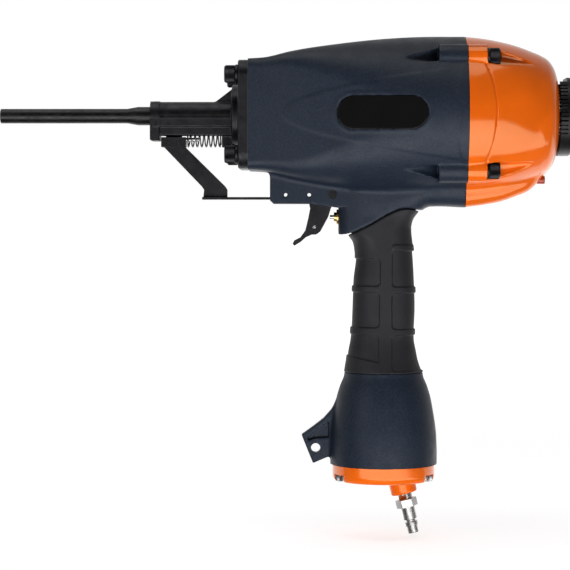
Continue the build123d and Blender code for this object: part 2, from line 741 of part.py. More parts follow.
with BuildPart() as deflector:
    turn(
        [
            (DEFLECTOR_FRONT, SCREW_HOLE),
            (DEFLECTOR_FRONT, 6),
            (DEFLECTOR_PLATE, 6),
            (DEFLECTOR_PLATE, DEFLECTOR_INNER),
            (DEFLECTOR_FRONT, DEFLECTOR_INNER),
            (DEFLECTOR_FRONT, DEFLECTOR_RADIUS),
            (DEFLECTOR_REAR - 3, DEFLECTOR_RADIUS),
            (DEFLECTOR_REAR - 1, DEFLECTOR_RADIUS - 1),
            (DEFLECTOR_REAR, DEFLECTOR_RADIUS - 3),
            (DEFLECTOR_REAR, COUNTERBORE),
            (COUNTERBORE_FLOOR, COUNTERBORE),
            (COUNTERBORE_FLOOR, SCREW_HOLE),
        ]
    )
    # outlet at the top
    with BuildSketch(Plane.YZ.offset(CAP_REAR)) as outlet:
        with Locations((0, 30)):
            Rectangle(34, 20)
    extrude(outlet.sketch, amount=6, mode=Mode.SUBTRACT)
    with BuildSketch(Plane.YZ.offset(CAP_REAR)) as rim_flat:
        with Locations((0, 32.8)):
            Rectangle(40, 10)
    extrude(rim_flat.sketch, amount=20, mode=Mode.SUBTRACT)
    # louvres through the wall on both sides
    for number in range(LOUVRES):
        angle = LOUVRE_START + LOUVRE_STEP * number
        for side in (-1, 1):
            outward = (0, side * cos(angle), sin(angle))
            wall = Plane(origin=(DEFLECTOR_FRONT, 0, 0), x_dir=outward, z_dir=(1, 0, 0))
            with BuildSketch(wall) as louvre:
                with Locations((28, 0)):
                    Rectangle(10, 1.3)
            extrude(louvre.sketch, amount=5.4, mode=Mode.SUBTRACT)

with BuildPart() as deflector_screw:
    rod(DEFLECTOR_SCREW, (1, 0, 0), DEFLECTOR_SCREW_RADIUS, 28.5)
    rod((424.5, 0, 0), (1, 0, 0), 5.2, 2.3)
    with BuildSketch(Plane.YZ.offset(426.8)) as socket:
        RegularPolygon(2.3, 6)
    extrude(socket.sketch, amount=-1.6, mode=Mode.SUBTRACT)

# ======================================================================== trigger group
TRIGGER_HALF = 6.5
TRIGGER_SLOT = 4.0
TRIGGER_OUTLINE = [
    (231.1, -65.7),
    (231.8, -69.2),
    (230.4, -76.5),
    (228.2, -85.5),
    (224.4, -90.7),
    (220.0, -92.9),
    (218.7, -95.4),
    (220.0, -97.0),
    (224.8, -94.1),
    (228.6, -90.7),
    (233.0, -88.7),
    (236.4, -88.6),
    (239.4, -86.4),
    (242.4, -80.8),
    (245.4, -75.2),
    (247.2, -69.2),
    (250.5, -62.6),
    (245.8, -55.8),
    (241.5, -63.2),
    (232.2, -63.6),
]
TRIGGER_HOLLOW = [
    (233.4, -60.0),
    (233.4, -70.0),
    (232.9, -76.5),
    (231.4, -83.0),
    (231.4, -86.2),
    (237.5, -86.2),
    (256.0, -86.2),
    (256.0, -60.0),
]

with BuildPart() as trigger:
    slab(TRIGGER_OUTLINE, TRIGGER_HALF)
    cross_rod(PIVOT[0], PIVOT[1], 4.2, TRIGGER_HALF)
    slab(TRIGGER_HOLLOW, TRIGGER_SLOT, Mode.SUBTRACT)
    block((243.5, 254), TRIGGER_SLOT, (-64, -50), Mode.SUBTRACT)
    cross_rod(PIVOT[0], PIVOT[1], 2.16, 20, Mode.SUBTRACT)
    cross_rod(LEVER_PIVOT[0], LEVER_PIVOT[1], 1.1, 20, Mode.SUBTRACT)

with BuildPart() as lever_pin:
    cross_rod(LEVER_PIVOT[0], LEVER_PIVOT[1], 1.1, TRIGGER_HALF)

with BuildPart() as idle_lever:
    slab(
        [
            (233.6, -83.0),
            (234.5, -61.0),
            (237.3, -61.0),
            (238.0, -72.5),
            (244.7, -72.5),
            (244.7, -77.0),
            (238.5, -79.0),
            (237.2, -83.0),
        ],
        3.7,
    )
    cross_rod(LEVER_PIVOT[0], LEVER_PIVOT[1], 2.4, 3.7)
    cross_rod(LEVER_PIVOT[0], LEVER_PIVOT[1], 1.16, 5, Mode.SUBTRACT)

with BuildPart() as trigger_pin:
    cross_rod(PIVOT[0], PIVOT[1], 2.1, CHEEK_OUTER + 1)

with BuildPart() as pin_retainers:
    for side in (-1, 1):
        rod((PIVOT[0], side * CHEEK_OUTER, PIVOT[1]), (0, side, 0), 3.25, 0.8)
        rod((PIVOT[0], side * CHEEK_OUTER, PIVOT[1]), (0, side, 0), 2.1, 0.8, Mode.SUBTRACT)

with BuildPart() as trigger_spring:
    coil((PIVOT[0], 6.9, PIVOT[1]), (0, 1, 0), 2.9, 0.3, 1.6, 2)

VALVE_RINGS = (257.5, 269.0)
VALVE_RING = 1.6
VALVE_RING_INNER = 4.1

with BuildPart() as trigger_valve_body:
    turn(
        [
            (249.6, 1.6),
            (249.6, 3.5),
            (251.6, 3.5),
            (251.6, 5.6),
            (NECK_FRONT, 5.6),
            (NECK_FRONT, 4.95),
            (276, 4.95),
            (276, 1.6),
            (274.5, 1.6),
            (274.5, 3.4),
            (256, 3.4),
            (256, 1.6),
        ],
        VALVE_Z,
    )
    for x in VALVE_RINGS:
        ring = [(x, VALVE_RING_INNER), (x + VALVE_RING, VALVE_RING_INNER), (x + VALVE_RING, 6), (x, 6)]
        turn(ring, VALVE_Z, Mode.SUBTRACT)

with BuildPart() as valve_o_rings:
    for x in VALVE_RINGS:
        ring = [(x, VALVE_RING_INNER), (x + VALVE_RING, VALVE_RING_INNER), (x + VALVE_RING, 4.98), (x, 4.98)]
        turn(ring, VALVE_Z)

with BuildPart() as valve_stem:
    turn(
        [
            (246.6, 0),
            (246.6, 1.2),
            (246.9, 1.5),
            (262, 1.5),
            (262, 3.1),
            (265, 3.1),
            (265, 1.2),
            (269, 1.2),
            (269, 0),
        ],
        VALVE_Z,
    )

with BuildPart() as trigger_valve_spring:
    coil((265.5, 0, VALVE_Z), (1, 0, 0), 2.3, 0.3, 8.6, 6)

# ======================================================================== handle end group
with BuildPart() as end_cap_gasket:
    with BuildSketch(Plane.XY.offset(END_CAP_TOP)) as sheet:
        with Locations((HANDLE_X, 0)):
            Circle(END_CAP_RADIUS - 0.3)
            Circle(CHAMBER_RADIUS, mode=Mode.SUBTRACT)
        with Locations([(HANDLE_X + a * END_SCREW_X, b * END_SCREW_Y) for a, b in SCREW_SIGNS]):
            Circle(2.6, mode=Mode.SUBTRACT)
    extrude(sheet.sketch, amount=BULB_BOTTOM - END_CAP_TOP)

END_SCREW_SEAT = -268.0
END_SCREW_HEAD = 4.2
BOSS_END = 10.0
PLUG_BORE = 4.4

with BuildPart() as end_cap:
    with BuildSketch(Plane.XZ) as cup:
        with BuildLine():
            Polyline(
                (HANDLE_X, END_CAP_TOP),
                (HANDLE_X + END_CAP_RADIUS, END_CAP_TOP),
                (HANDLE_X + END_CAP_RADIUS, END_CAP_BOTTOM + 5),
                (HANDLE_X + END_CAP_RADIUS - 1.5, END_CAP_BOTTOM + 1.5),
                (HANDLE_X + END_CAP_RADIUS - 5, END_CAP_BOTTOM),
                (HANDLE_X, END_CAP_BOTTOM),
                close=True,
            )
        make_face()
    revolve(cup.sketch, axis=Axis((HANDLE_X, 0, 0), (0, 0, 1)))
    rod(along_plug(-8), PLUG_AXIS, 10, 8 + BOSS_END)
    rod((HANDLE_X, 0, -265.5), (0, 0, 1), 28, 20, Mode.SUBTRACT)
    rod(along_plug(BOSS_END), tuple(-part for part in PLUG_AXIS), PLUG_BORE, 40, Mode.SUBTRACT)
    for a, b in SCREW_SIGNS:
        place = (HANDLE_X + a * END_SCREW_X, b * END_SCREW_Y)
        rod((place[0], place[1], END_CAP_TOP), (0, 0, -1), 2.6, 14, Mode.SUBTRACT)
        rod((place[0], place[1], END_SCREW_SEAT), (0, 0, -1), 4.6, 14, Mode.SUBTRACT)

with BuildPart() as end_cap_screws:
    for a, b in SCREW_SIGNS:
        place = (HANDLE_X + a * END_SCREW_X, b * END_SCREW_Y)
        rod((place[0], place[1], END_SCREW_SEAT), (0, 0, 1), 2.5, 23)
        rod((place[0], place[1], END_SCREW_SEAT), (0, 0, -1), 4.2, END_SCREW_HEAD)
        top = (place[0], place[1], END_SCREW_SEAT - END_SCREW_HEAD)
        with BuildSketch(Plane(origin=top, z_dir=(0, 0, -1))) as socket:
            RegularPolygon(2.3, 6)
        extrude(socket.sketch, amount=-2.2, mode=Mode.SUBTRACT)

HEXAGON_START = 14.5
HEXAGON = 6.0

with BuildPart() as air_plug:
    # (distance along the plug, radius) of each plain stretch
    for start, end, radius in [
        (-6.0, BOSS_END, PLUG_BORE),
        (BOSS_END, HEXAGON_START, 5.4),
        (HEXAGON_START + HEXAGON, 30.0, 5.2),
        (30.0, 32.0, 3.6),
        (32.0, 35.0, 4.8),
        (35.0, 40.5, 4.1),
    ]:
        rod(along_plug(start), PLUG_AXIS, radius, end - start)
    with BuildSketch(Plane(origin=along_plug(HEXAGON_START), z_dir=PLUG_AXIS)) as hexagon:
        RegularPolygon(7.0, 6, major_radius=False)
    extrude(hexagon.sketch, amount=HEXAGON)
    rod(along_plug(-7), PLUG_AXIS, 2.4, 50, Mode.SUBTRACT)

# ======================================================================== export
PIECES = {
    "barrel_tube": barrel_tube,
    "nose_body": nose_body,
    "blade_guide": blade_guide,
    "nose_gasket": nose_gasket,
    "nose_screws": nose_screws,
    "nose_lock_washers": nose_lock_washers,
    "arm_shoe": arm_shoe,
    "contact_arm": contact_arm,
    "arm_pins": arm_pins,
    "spring_guide": spring_guide,
    "contact_spring": contact_spring,
    "main_housing": main_housing,
    "grip_sleeve": grip_sleeve,
    "name_plates": name_plates,
    "cylinder_sleeve": cylinder_sleeve,
    "cylinder_o_rings": cylinder_o_rings,
    "bumper": bumper,
    "piston": piston,
    "piston_ring": piston_ring,
    "driver_blade": driver_blade,
    "cylinder_cap": cylinder_cap,
    "cap_gasket": cap_gasket,
    "cap_screws": cap_screws,
    "cap_lock_washers": cap_lock_washers,
    "passage_plug": passage_plug,
    "head_valve": head_valve,
    "head_valve_o_ring": head_valve_o_ring,
    "head_valve_spring": head_valve_spring,
    "deflector": deflector,
    "deflector_screw": deflector_screw,
    "trigger": trigger,
    "lever_pin": lever_pin,
    "idle_lever": idle_lever,
    "trigger_pin": trigger_pin,
    "pin_retainers": pin_retainers,
    "trigger_spring": trigger_spring,
    "trigger_valve_body": trigger_valve_body,
    "valve_o_rings": valve_o_rings,
    "valve_stem": valve_stem,
    "trigger_valve_spring": trigger_valve_spring,
    "end_cap_gasket": end_cap_gasket,
    "end_cap": end_cap,
    "end_cap_screws": end_cap_screws,
    "air_plug": air_plug,
}

os.makedirs("parts", exist_ok=True)
for label, piece in PIECES.items():
    piece.part.label = label
    export_step(piece.part, f"parts/{label}.step")
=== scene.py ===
"""Looks of the pneumatic rivet gun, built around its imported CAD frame.

Shapes are worked out in millimetres in the frame's own axes: X runs from the muzzle to the exhaust
deflector, Z is up, and the gun's left side faces -Y.  Castings and mouldings are signed fields,
negative inside, that are meshed with a surface net.  Springs are swept, and screws and lock washers
are turned.  The other outer parts are CAD shapes with their edges broken, and the inner parts are
the CAD nodes themselves.
"""
import json
import math

import bmesh
import bpy
import numpy as np
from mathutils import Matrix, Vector


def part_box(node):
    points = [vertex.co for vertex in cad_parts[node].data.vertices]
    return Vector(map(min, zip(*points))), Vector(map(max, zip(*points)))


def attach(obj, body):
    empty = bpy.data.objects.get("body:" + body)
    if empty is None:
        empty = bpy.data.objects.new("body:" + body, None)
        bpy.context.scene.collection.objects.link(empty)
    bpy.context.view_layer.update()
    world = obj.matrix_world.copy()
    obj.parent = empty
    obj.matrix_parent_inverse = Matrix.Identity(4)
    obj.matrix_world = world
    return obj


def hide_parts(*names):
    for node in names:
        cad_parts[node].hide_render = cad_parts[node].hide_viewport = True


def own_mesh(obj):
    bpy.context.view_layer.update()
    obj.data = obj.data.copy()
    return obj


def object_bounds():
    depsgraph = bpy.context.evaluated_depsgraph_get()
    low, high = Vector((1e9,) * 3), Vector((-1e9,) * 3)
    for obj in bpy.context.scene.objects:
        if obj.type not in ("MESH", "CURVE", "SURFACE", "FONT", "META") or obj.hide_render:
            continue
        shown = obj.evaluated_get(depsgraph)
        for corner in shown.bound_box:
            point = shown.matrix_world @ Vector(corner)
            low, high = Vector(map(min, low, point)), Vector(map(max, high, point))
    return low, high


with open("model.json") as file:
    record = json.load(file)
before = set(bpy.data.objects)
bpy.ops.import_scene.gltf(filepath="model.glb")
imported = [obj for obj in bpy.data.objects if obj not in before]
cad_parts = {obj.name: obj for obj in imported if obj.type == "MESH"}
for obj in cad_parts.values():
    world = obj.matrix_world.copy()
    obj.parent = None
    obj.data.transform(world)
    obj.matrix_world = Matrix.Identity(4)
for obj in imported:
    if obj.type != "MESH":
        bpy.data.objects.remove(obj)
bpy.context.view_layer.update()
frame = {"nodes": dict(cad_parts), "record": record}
MM = 0.001


def node_box(node):
    """A CAD node's lowest and highest corners, in millimetres."""
    low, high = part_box(node)
    return np.array(low) / MM, np.array(high) / MM


# ------------------------------------------------------------------ sizes read from the frame
BODY_FRONT = node_box("nose_gasket")[1][0]
JOINT_FRONT = node_box("cap_gasket")[0][0]
JOINT_REAR = node_box("cap_gasket")[1][0]
CAP_REAR = node_box("cylinder_cap")[1][0]
GRIP_BOTTOM = node_box("grip_sleeve")[0][2]
END_CAP_TOP = node_box("end_cap_gasket")[0][2]
BULB_BOTTOM = node_box("end_cap_gasket")[1][2]
HANDLE_X = float(node_box("end_cap_gasket")[0][0] + node_box("end_cap_gasket")[1][0]) / 2


# ------------------------------------------------------------------ field tools


def curve(where, stations):
    """A smooth curve through (station, value) pairs, evaluated at where."""
    xs, ys = np.array(sorted(stations), float).T
    steps = np.diff(xs)
    rises = np.diff(ys) / steps
    middle = (rises[:-1] * steps[1:] + rises[1:] * steps[:-1]) / (steps[1:] + steps[:-1])
    slopes = np.concatenate([[rises[0]], middle, [rises[-1]]])
    i = np.clip(np.searchsorted(xs, where) - 1, 0, len(steps) - 1)
    t = np.clip((where - xs[i]) / steps[i], 0, 1)
    a = (1 + 2 * t) * (1 - t) ** 2 * ys[i] + t * t * (3 - 2 * t) * ys[i + 1]
    b = (t * (1 - t) ** 2 * slopes[i] - t * t * (1 - t) * slopes[i + 1]) * steps[i]
    return a + b


def join(a, b, radius):
    """Union of two fields with a fillet."""
    h = np.clip(0.5 + 0.5 * (b - a) / radius, 0, 1)
    return b + (a - b) * h - radius * h * (1 - h)


def common(a, b, radius):
    """Intersection of two fields with a rounded edge."""
    return -join(-a, -b, radius)


def cut(a, b, radius):
    """Field a with b taken away, the edge rounded."""
    return -join(-a, b, radius)


def step(distance, width):
    """1 well inside a negative distance, 0 outside, smooth over width."""
    t = np.clip(0.5 - distance / width, 0, 1)
    return t * t * (3 - 2 * t)


def round_box(u, v, half_u, half_v, corner):
    """2D distance to a rectangle with round corners, centred on the origin."""
    corner = np.minimum(corner, np.minimum(half_u, half_v))
    du = np.abs(u) - (half_u - corner)
    dv = np.abs(v) - (half_v - corner)
    outside = np.sqrt(np.maximum(du, 0) ** 2 + np.maximum(dv, 0) ** 2)
    return outside + np.minimum(np.maximum(du, dv), 0) - corner


def between(value, low, high):
    """Signed distance to the slab low <= value <= high."""
    return np.maximum(low - value, value - high)


def polygon(u, v, points):
    """2D signed distance to a closed polygon."""
    best = np.full(np.shape(u), 1e9)
    inside = np.zeros(np.shape(u), bool)
    for (x0, y0), (x1, y1) in zip(points, points[1:] + points[:1]):
        ex, ey = x1 - x0, y1 - y0
        t = np.clip(((u - x0) * ex + (v - y0) * ey) / (ex * ex + ey * ey), 0, 1)
        best = np.minimum(best, (u - x0 - t * ex) ** 2 + (v - y0 - t * ey) ** 2)
        crosses = (y0 > v) != (y1 > v)
        at = x0 + (v - y0) * ex / (ey if ey else 1e-9)
        inside ^= crosses & (u < at)
    return np.where(inside, -1, 1) * np.sqrt(best)


def rod_x(x, y, z, at, radius, low, high):
    """A round bar parallel to X."""
    return np.maximum(np.hypot(y - at[0], z - at[1]) - radius, between(x, low, high))


def rod_y(x, z, at, radius):
    """An endless round bar parallel to Y."""
    return np.hypot(x - at[0], z - at[1]) - radius


# ------------------------------------------------------------------ meshing


# cells along a block's edge, and how many edges away from the surface a block still counts
BLOCK = 8
BLOCK_REACH = 2.2


def sample(field, axes, cell):
    """The field on a grid, worked out in full only in the blocks that may hold the surface."""
    counts = [len(axis) for axis in axes]
    centres = [axis[0] + (np.arange(-(-n // BLOCK)) + 0.5) * BLOCK * cell for axis, n in zip(axes, counts)]
    coarse = field(*(g.ravel() for g in np.meshgrid(*centres, indexing="ij")))
    coarse = coarse.reshape([len(c) for c in centres])
    near = np.abs(coarse) < BLOCK * cell * BLOCK_REACH
    values, mask = coarse, near
    for number, count in enumerate(counts):
        values = np.repeat(values, BLOCK, axis=number).take(np.arange(count), axis=number)
        mask = np.repeat(mask, BLOCK, axis=number).take(np.arange(count), axis=number)
    values = values.copy()
    where = np.nonzero(mask)
    values[where] = field(*(axis[i] for axis, i in zip(axes, where)))
    return values


def surface_net(field, low, high, cell):
    """Vertices and quads of the field's zero surface inside a box."""
    axes = [np.arange(a - cell, b + 2 * cell, cell) for a, b in zip(low, high)]
    values = sample(field, axes, cell)
    inside = values < 0
    shape = np.array(values.shape) - 1
    sums = np.zeros((*shape, 3))
    hits = np.zeros(shape)
    numbers = np.full(shape, -1)
    crossings = []
    for d in range(3):
        first = [slice(None)] * 3
        second = [slice(None)] * 3
        first[d], second[d] = slice(0, -1), slice(1, None)
        found = np.argwhere(inside[tuple(first)] != inside[tuple(second)])
        e, f = [k for k in range(3) if k != d]
        keep = (found[:, e] > 0) & (found[:, f] > 0) & (found[:, e] < shape[e]) & (found[:, f] < shape[f])
        found = found[keep]
        other = found.copy()
        other[:, d] += 1
        a = values[tuple(found.T)]
        b = values[tuple(other.T)]
        point = np.stack([axes[k][found[:, k]] for k in range(3)], 1)
        point[:, d] += cell * a / (a - b)
        ring = []
        for se, sf in ((1, 1), (0, 1), (0, 0), (1, 0)):
            at = found.copy()
            at[:, e] -= se
            at[:, f] -= sf
            flat = np.ravel_multi_index(tuple(at.T), shape)
            ring.append(flat)
            for k in range(3):
                sums[..., k] += np.bincount(flat, point[:, k], sums[..., k].size).reshape(shape)
            hits += np.bincount(flat, minlength=hits.size).reshape(shape)
        ring = np.stack(ring, 1)
        flip = (a > 0) if d != 1 else (a < 0)
        ring[flip] = ring[flip][:, ::-1]
        crossings.append(ring)
    used = hits > 0
    numbers[used] = np.arange(used.sum())
    vertices = sums[used] / hits[used][:, None]
    quads = numbers.ravel()[np.concatenate(crossings)]
    return vertices, quads


SETTLE_PASSES = 4
SLOPE_REACH = 0.02
# the least squared slope that a move is divided by, so that flat spots in a field throw nothing far
SLOPE_FLOOR = 0.05


def settle(field, vertices, cell):
    """Move each vertex onto the surface along the field's slope."""
    reach = SLOPE_REACH
    for _ in range(SETTLE_PASSES):
        x, y, z = vertices.T
        value = field(x, y, z)
        slope = np.stack(
            [
                field(x + reach, y, z) - field(x - reach, y, z),
                field(x, y + reach, z) - field(x, y - reach, z),
                field(x, y, z + reach) - field(x, y, z - reach),
            ],
            1,
        ) / (2 * reach)
        move = -slope * (value / np.maximum((slope**2).sum(1), SLOPE_FLOOR))[:, None]
        length = np.linalg.norm(move, axis=1, keepdims=True)
        vertices = vertices + move * np.minimum(1, 0.5 * cell / np.maximum(length, 1e-9))
    return vertices


def trim(mesh, planes):
    """Cut a mesh flat at each (point, outward direction) and close it there."""
    bm = bmesh.new()
    bm.from_mesh(mesh)
    for point, outward in planes:
        geometry = bm.verts[:] + bm.edges[:] + bm.faces[:]
        result = bmesh.ops.bisect_plane(
            bm, geom=geometry, dist=1e-6, plane_co=Vector(point) * MM, plane_no=outward, clear_outer=True
        )
        rim = [e for e in result["geom_cut"] if isinstance(e, bmesh.types.BMEdge)]
        bmesh.ops.triangle_fill(bm, use_beauty=True, use_dissolve=False, edges=rim, normal=outward)
    bm.to_mesh(mesh)
    bm.free()


def new_piece(name, vertices, faces, node, body, material, planes=(), smooth_angle=35):
    """A mesh object in metres that stands for a CAD node and rides on its body."""
    mesh = bpy.data.meshes.new(name)
    mesh.from_pydata((vertices * MM).tolist(), [], faces)
    mesh.update()
    if planes:
        trim(mesh, planes)
    mesh.polygons.foreach_set("use_smooth", [True] * len(mesh.polygons))
    mesh.set_sharp_from_angle(angle=math.radians(smooth_angle))
    mesh.materials.append(material)
    piece = bpy.data.objects.new(name, mesh)
    bpy.context.scene.collection.objects.link(piece)
    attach(piece, body)
    if node:
        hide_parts(node)
    return piece


# how far a grid runs past the box it is given
PAST = 3.0


def cast(name, field, low, high, cell, node, body, material, planes=(), smooth_angle=35):
    """Mesh a field and make it a piece; the grid runs past the box so that planes can trim it."""
    vertices, quads = surface_net(field, np.array(low) - PAST, np.array(high) + PAST, cell)
    vertices = settle(field, vertices, cell)
    return new_piece(name, vertices, quads.tolist(), node, body, material, planes, smooth_angle)


SLOT_OF = {entry["node"]: entry["material_slot"] for entry in frame["record"]["subparts"]}


# ------------------------------------------------------------------ main housing
BODY_HALF = [
    (BODY_FRONT, 40.6),
    (199.0, 41.6),
    (217.0, 45.8),
    (253.0, 52.1),
    (289.0, 56.7),
    (319.0, 58.7),
    (JOINT_FRONT, 58.8),
]
# share of the half height that is rounded off at the corners
BODY_ROUND = [
    (BODY_FRONT, 0.15),
    (217.0, 0.26),
    (253.0, 0.56),
    (300.0, 0.88),
    (325.0, 0.99),
    (JOINT_FRONT, 0.995),
]
# relief on the flanks fades out nearer the middle plane than this
FLANK_Y = 18.0
FLANK_BLEND = 8.0
TEARDROP_TIP = 211.0
TEARDROP_HALF = 33.0
TEARDROP_RISE = 0.32
PAD_FRONT = 336.0
PAD_BOW = 8.0
PAD_HALF = 38.0
PAD_RISE = 0.4
SCREW_Y = 37.0
SCREW_Z = 41.4
BOSS_RADIUS = 9.2
BOSS_FRONT = 325.8
BOSS_OVERLAP = 9
SCOOP_TIP = 297.0
SCOOP_RADIUS = 7.2
# how far the scoop's tip lies outward of the screw, and nearer the middle height
SCOOP_OUT = 9.5
SCOOP_IN = 0.6
SCOOP_CURL = 0.6
CHEEK_HALF = 18.0
CHEEK_HOLE_RADIUS = 1.5
PIVOT_RADIUS = 2.15
SLOT_HALF = 9.0
SLOT_X = (190.0, 252.6)
SLOT_Z = (-75.0, -50.5)
VALVE_BORE_AT = (0.0, -75.5)
VALVE_BORE_RADIUS = 5.0
VALVE_BORE_X = (240.0, 287.0)
BOX_OUTLINE = [
    (202.0, -30.0),
    (202.0, -63.2),
    (204.5, -65.7),
    (231.0, -65.7),
    (253.0, -68.5),
    (272.0, -68.5),
    (281.0, -61.5),
    (276.5, -56.0),
    (267.0, -52.3),
    (249.0, -46.0),
    (249.0, -30.0),
]
SEAM = [
    (240.0, -88.4),
    (259.7, -88.4),
    (274.7, -81.9),
    (289.8, -73.4),
    (297.8, -69.9),
    (304.9, -69.3),
    (313.4, -70.7),
    (330.0, -74.0),
]
SEAM_GAP = 0.45
# turns a height over the slanting seam into a distance from it
SEAM_LEAN = 0.86
KEEL_HALF = [(262.0, 16.2), (280.0, 17.5), (296.0, 21.0), (318.0, 23.5), (JOINT_FRONT, 24.0)]
KEEL_BOTTOM = [
    (253.0, -80.0),
    (300.0, -74.0),
    (312.0, -70.2),
    (318.0, -68.1),
    (325.0, -67.6),
    (JOINT_FRONT, -68.3),
]
KEEL_TOP = -20
KEEL_CORNER = 13.0
KEEL_FRONT = 268.0
KEEL_FADE = 14.0
NECK_X = (253.0, 312.0)
NECK_Z = (-92.0, -40.0)
NECK_HALF = 20.0
NECK_CORNER = 9.0
# the neck's half width is less by this in front of a place, with a blend round it
NECK_NARROWING = 4.0
NARROWING_X = 260.0
NARROWING_BLEND = 26.0
HANDLE_TOP = -45.0
PIVOT = (248.4, -59.1)
CHEEK_HOLES = [(213.5, -58.9), (231.1, -58.9)]
LUG_OUTLINE = [
    (225.4, -238.7),
    (234.0, -260.0),
    (246.9, -254.5),
    (249.0, -255.8),
    (268.0, -255.8),
    (268.0, -213.8),
    (251.9, -213.8),
    (247.6, -219.9),
    (241.9, -226.3),
    (234.7, -232.0),
]
LUG_POCKET = [(245.6, -228.6), (245.8, -240.6), (234.4, -241.4), (230.9, -243.2), (229.6, -240.9)]
LUG_HOLE = (236.0, -248.5)
LUG_HOLE_RADIUS = 3.5
LUG_HALF = 4.5
LUG_WEB_HALF = 0.6
BULB_RADIUS = [
    (GRIP_BOTTOM, 29.3),
    (-194.0, 29.6),
    (-201.5, 32.5),
    (-209.0, 34.8),
    (-220.0, 37.0),
    (-235.0, 39.2),
    (-248.0, 40.0),
    (BULB_BOTTOM, 40.0),
]
# (z, front x, rear x, half width, corner radius) of the grip's outer surface
GRIP_STATIONS = [
    (-60.0, 258.0, 322.0, 21.5, 15.0),
    (-70.5, 258.0, 313.6, 20.5, 15.0),
    (-77.0, 258.5, 308.9, 20.0, 15.0),
    (-82.4, 259.2, 307.4, 20.0, 15.5),
    (-88.2, 259.9, 307.6, 20.0, 16.0),
    (-94.0, 263.6, 308.3, 20.0, 16.5),
    (-100.0, 264.9, 309.0, 20.0, 17.0),
    (-122.7, 263.3, 310.5, 20.5, 17.5),
    (-145.0, 262.5, 311.1, 21.0, 18.0),
    (-160.0, 261.8, 310.5, 21.6, 18.5),
    (-167.7, 261.0, 310.6, 22.3, 19.5),
    (-175.0, 259.6, 312.0, 23.6, 21.0),
    (-182.7, 258.6, 313.6, 25.8, 24.0),
    (GRIP_BOTTOM, 257.1, 316.7, 29.3, 29.0),
]
RUBBER = 3.0
# heights of the casting inside the rubber: the two housing pieces end 1 mm apart there, out of sight
UPPER_CORE_Z = (-140.0, -50.0)
LOWER_CORE_Z = (-200.0, -141.0)
# the side plates: x and z from their node, and a seat that follows the sloping flank
PLATE_LOW, PLATE_HIGH = node_box("name_plates")
PLATE_X = (PLATE_LOW[0] + PLATE_HIGH[0]) / 2
PLATE_HALF = (PLATE_HIGH[0] - PLATE_LOW[0]) / 2
PLATE_TALL = (PLATE_HIGH[2] - PLATE_LOW[2]) / 2
PLATE_Z = (PLATE_HIGH[2] + PLATE_LOW[2]) / 2
PLATE_Y = 55.3
PLATE_SLOPE = 0.095
SEAT_DEPTH = 1.1
SEAT_GAP = 0.25
RIM_X = 3.2
RIM_Z = 3.0
RIM_RISE = 0.35
# a corner radius past any half size, which makes a box's ends half round
ROUND_ENDS = 99.0


def cap_screw_fields(x, y, z, low, high, radius):
    """Four bars on the cap screws' axes."""
    return rod_x(x, np.abs(y), np.abs(z), (SCREW_Y, SCREW_Z), radius, low, high)


def grip_surface(x, y, z, inset):
    """Outer surface of the handle, drawn in by inset."""
    columns = list(zip(*GRIP_STATIONS))
    front, rear, width, corner = (curve(z, list(zip(columns[0], column))) for column in columns[1:])
    half = (rear - front) / 2
    return round_box(x - (front + rear) / 2, y, half - inset, width - inset, corner - inset)


def handle_core(x, y, z, heights):
    """The casting inside the rubber grip, between two heights."""
    return np.maximum(grip_surface(x, y, z, RUBBER), between(z, *heights))


def below_seam(x, z):
    """Distance below the seam between the housing and the rubber grip."""
    return (curve(x, SEAM) - z) * SEAM_LEAN


def on_flanks(y):
    """1 on the gun's flanks, fading to 0 towards the middle plane."""
    return step(FLANK_Y - np.abs(y), FLANK_BLEND)


def side_panels(x, y, z):
    """How far the teardrop panels and the flange pads stand out of the body's sides."""
    length = np.clip((x - TEARDROP_TIP) / (JOINT_FRONT - TEARDROP_TIP), 0, 1)
    reach = TEARDROP_HALF * np.sqrt(length) * (1.0 + 0.05 * length)
    teardrop = step(np.abs(z) - reach, 2.2) * step(TEARDROP_TIP - x, 4.0)
    arc = PAD_FRONT + PAD_BOW * (z / PAD_HALF) ** 2
    pad = step(arc - x, 1.4) * step(np.abs(z) - PAD_HALF, 4.0)
    beside = on_flanks(y)
    return TEARDROP_RISE * teardrop * beside + PAD_RISE * pad * beside


def barrel_casting(x, y, z):
    """The housing's barrel part: square at the nose flange, round-cornered at the cap."""
    half = curve(x, BODY_HALF)
    rounding = curve(x, BODY_ROUND) * half
    body = round_box(y, z, half, half, rounding)
    body = body - side_panels(x, y, z)
    # raised rim round each side plate
    rim = round_box(x - PLATE_X, z - PLATE_Z, PLATE_HALF + RIM_X, PLATE_TALL + RIM_Z, ROUND_ENDS)
    body = body - RIM_RISE * step(rim, 2.0) * on_flanks(y)
    # cap screw bosses with their scoops
    bosses = cap_screw_fields(x, y, z, BOSS_FRONT, JOINT_FRONT + BOSS_OVERLAP, BOSS_RADIUS)
    body = join(body, bosses, 1.6)
    spread = np.clip((x - SCOOP_TIP) / (BOSS_FRONT - SCOOP_TIP), 0.0, 1.0)
    back = 1 - spread
    off_y = np.abs(y) - SCREW_Y - SCOOP_OUT * back**SCOOP_CURL
    off_z = np.abs(z) - SCREW_Z + SCOOP_IN * back
    cone = np.hypot(off_y, off_z) - SCOOP_RADIUS * spread
    scoops = np.maximum(cone, between(x, SCOOP_TIP, BOSS_FRONT))
    return cut(body, scoops, 1.2)


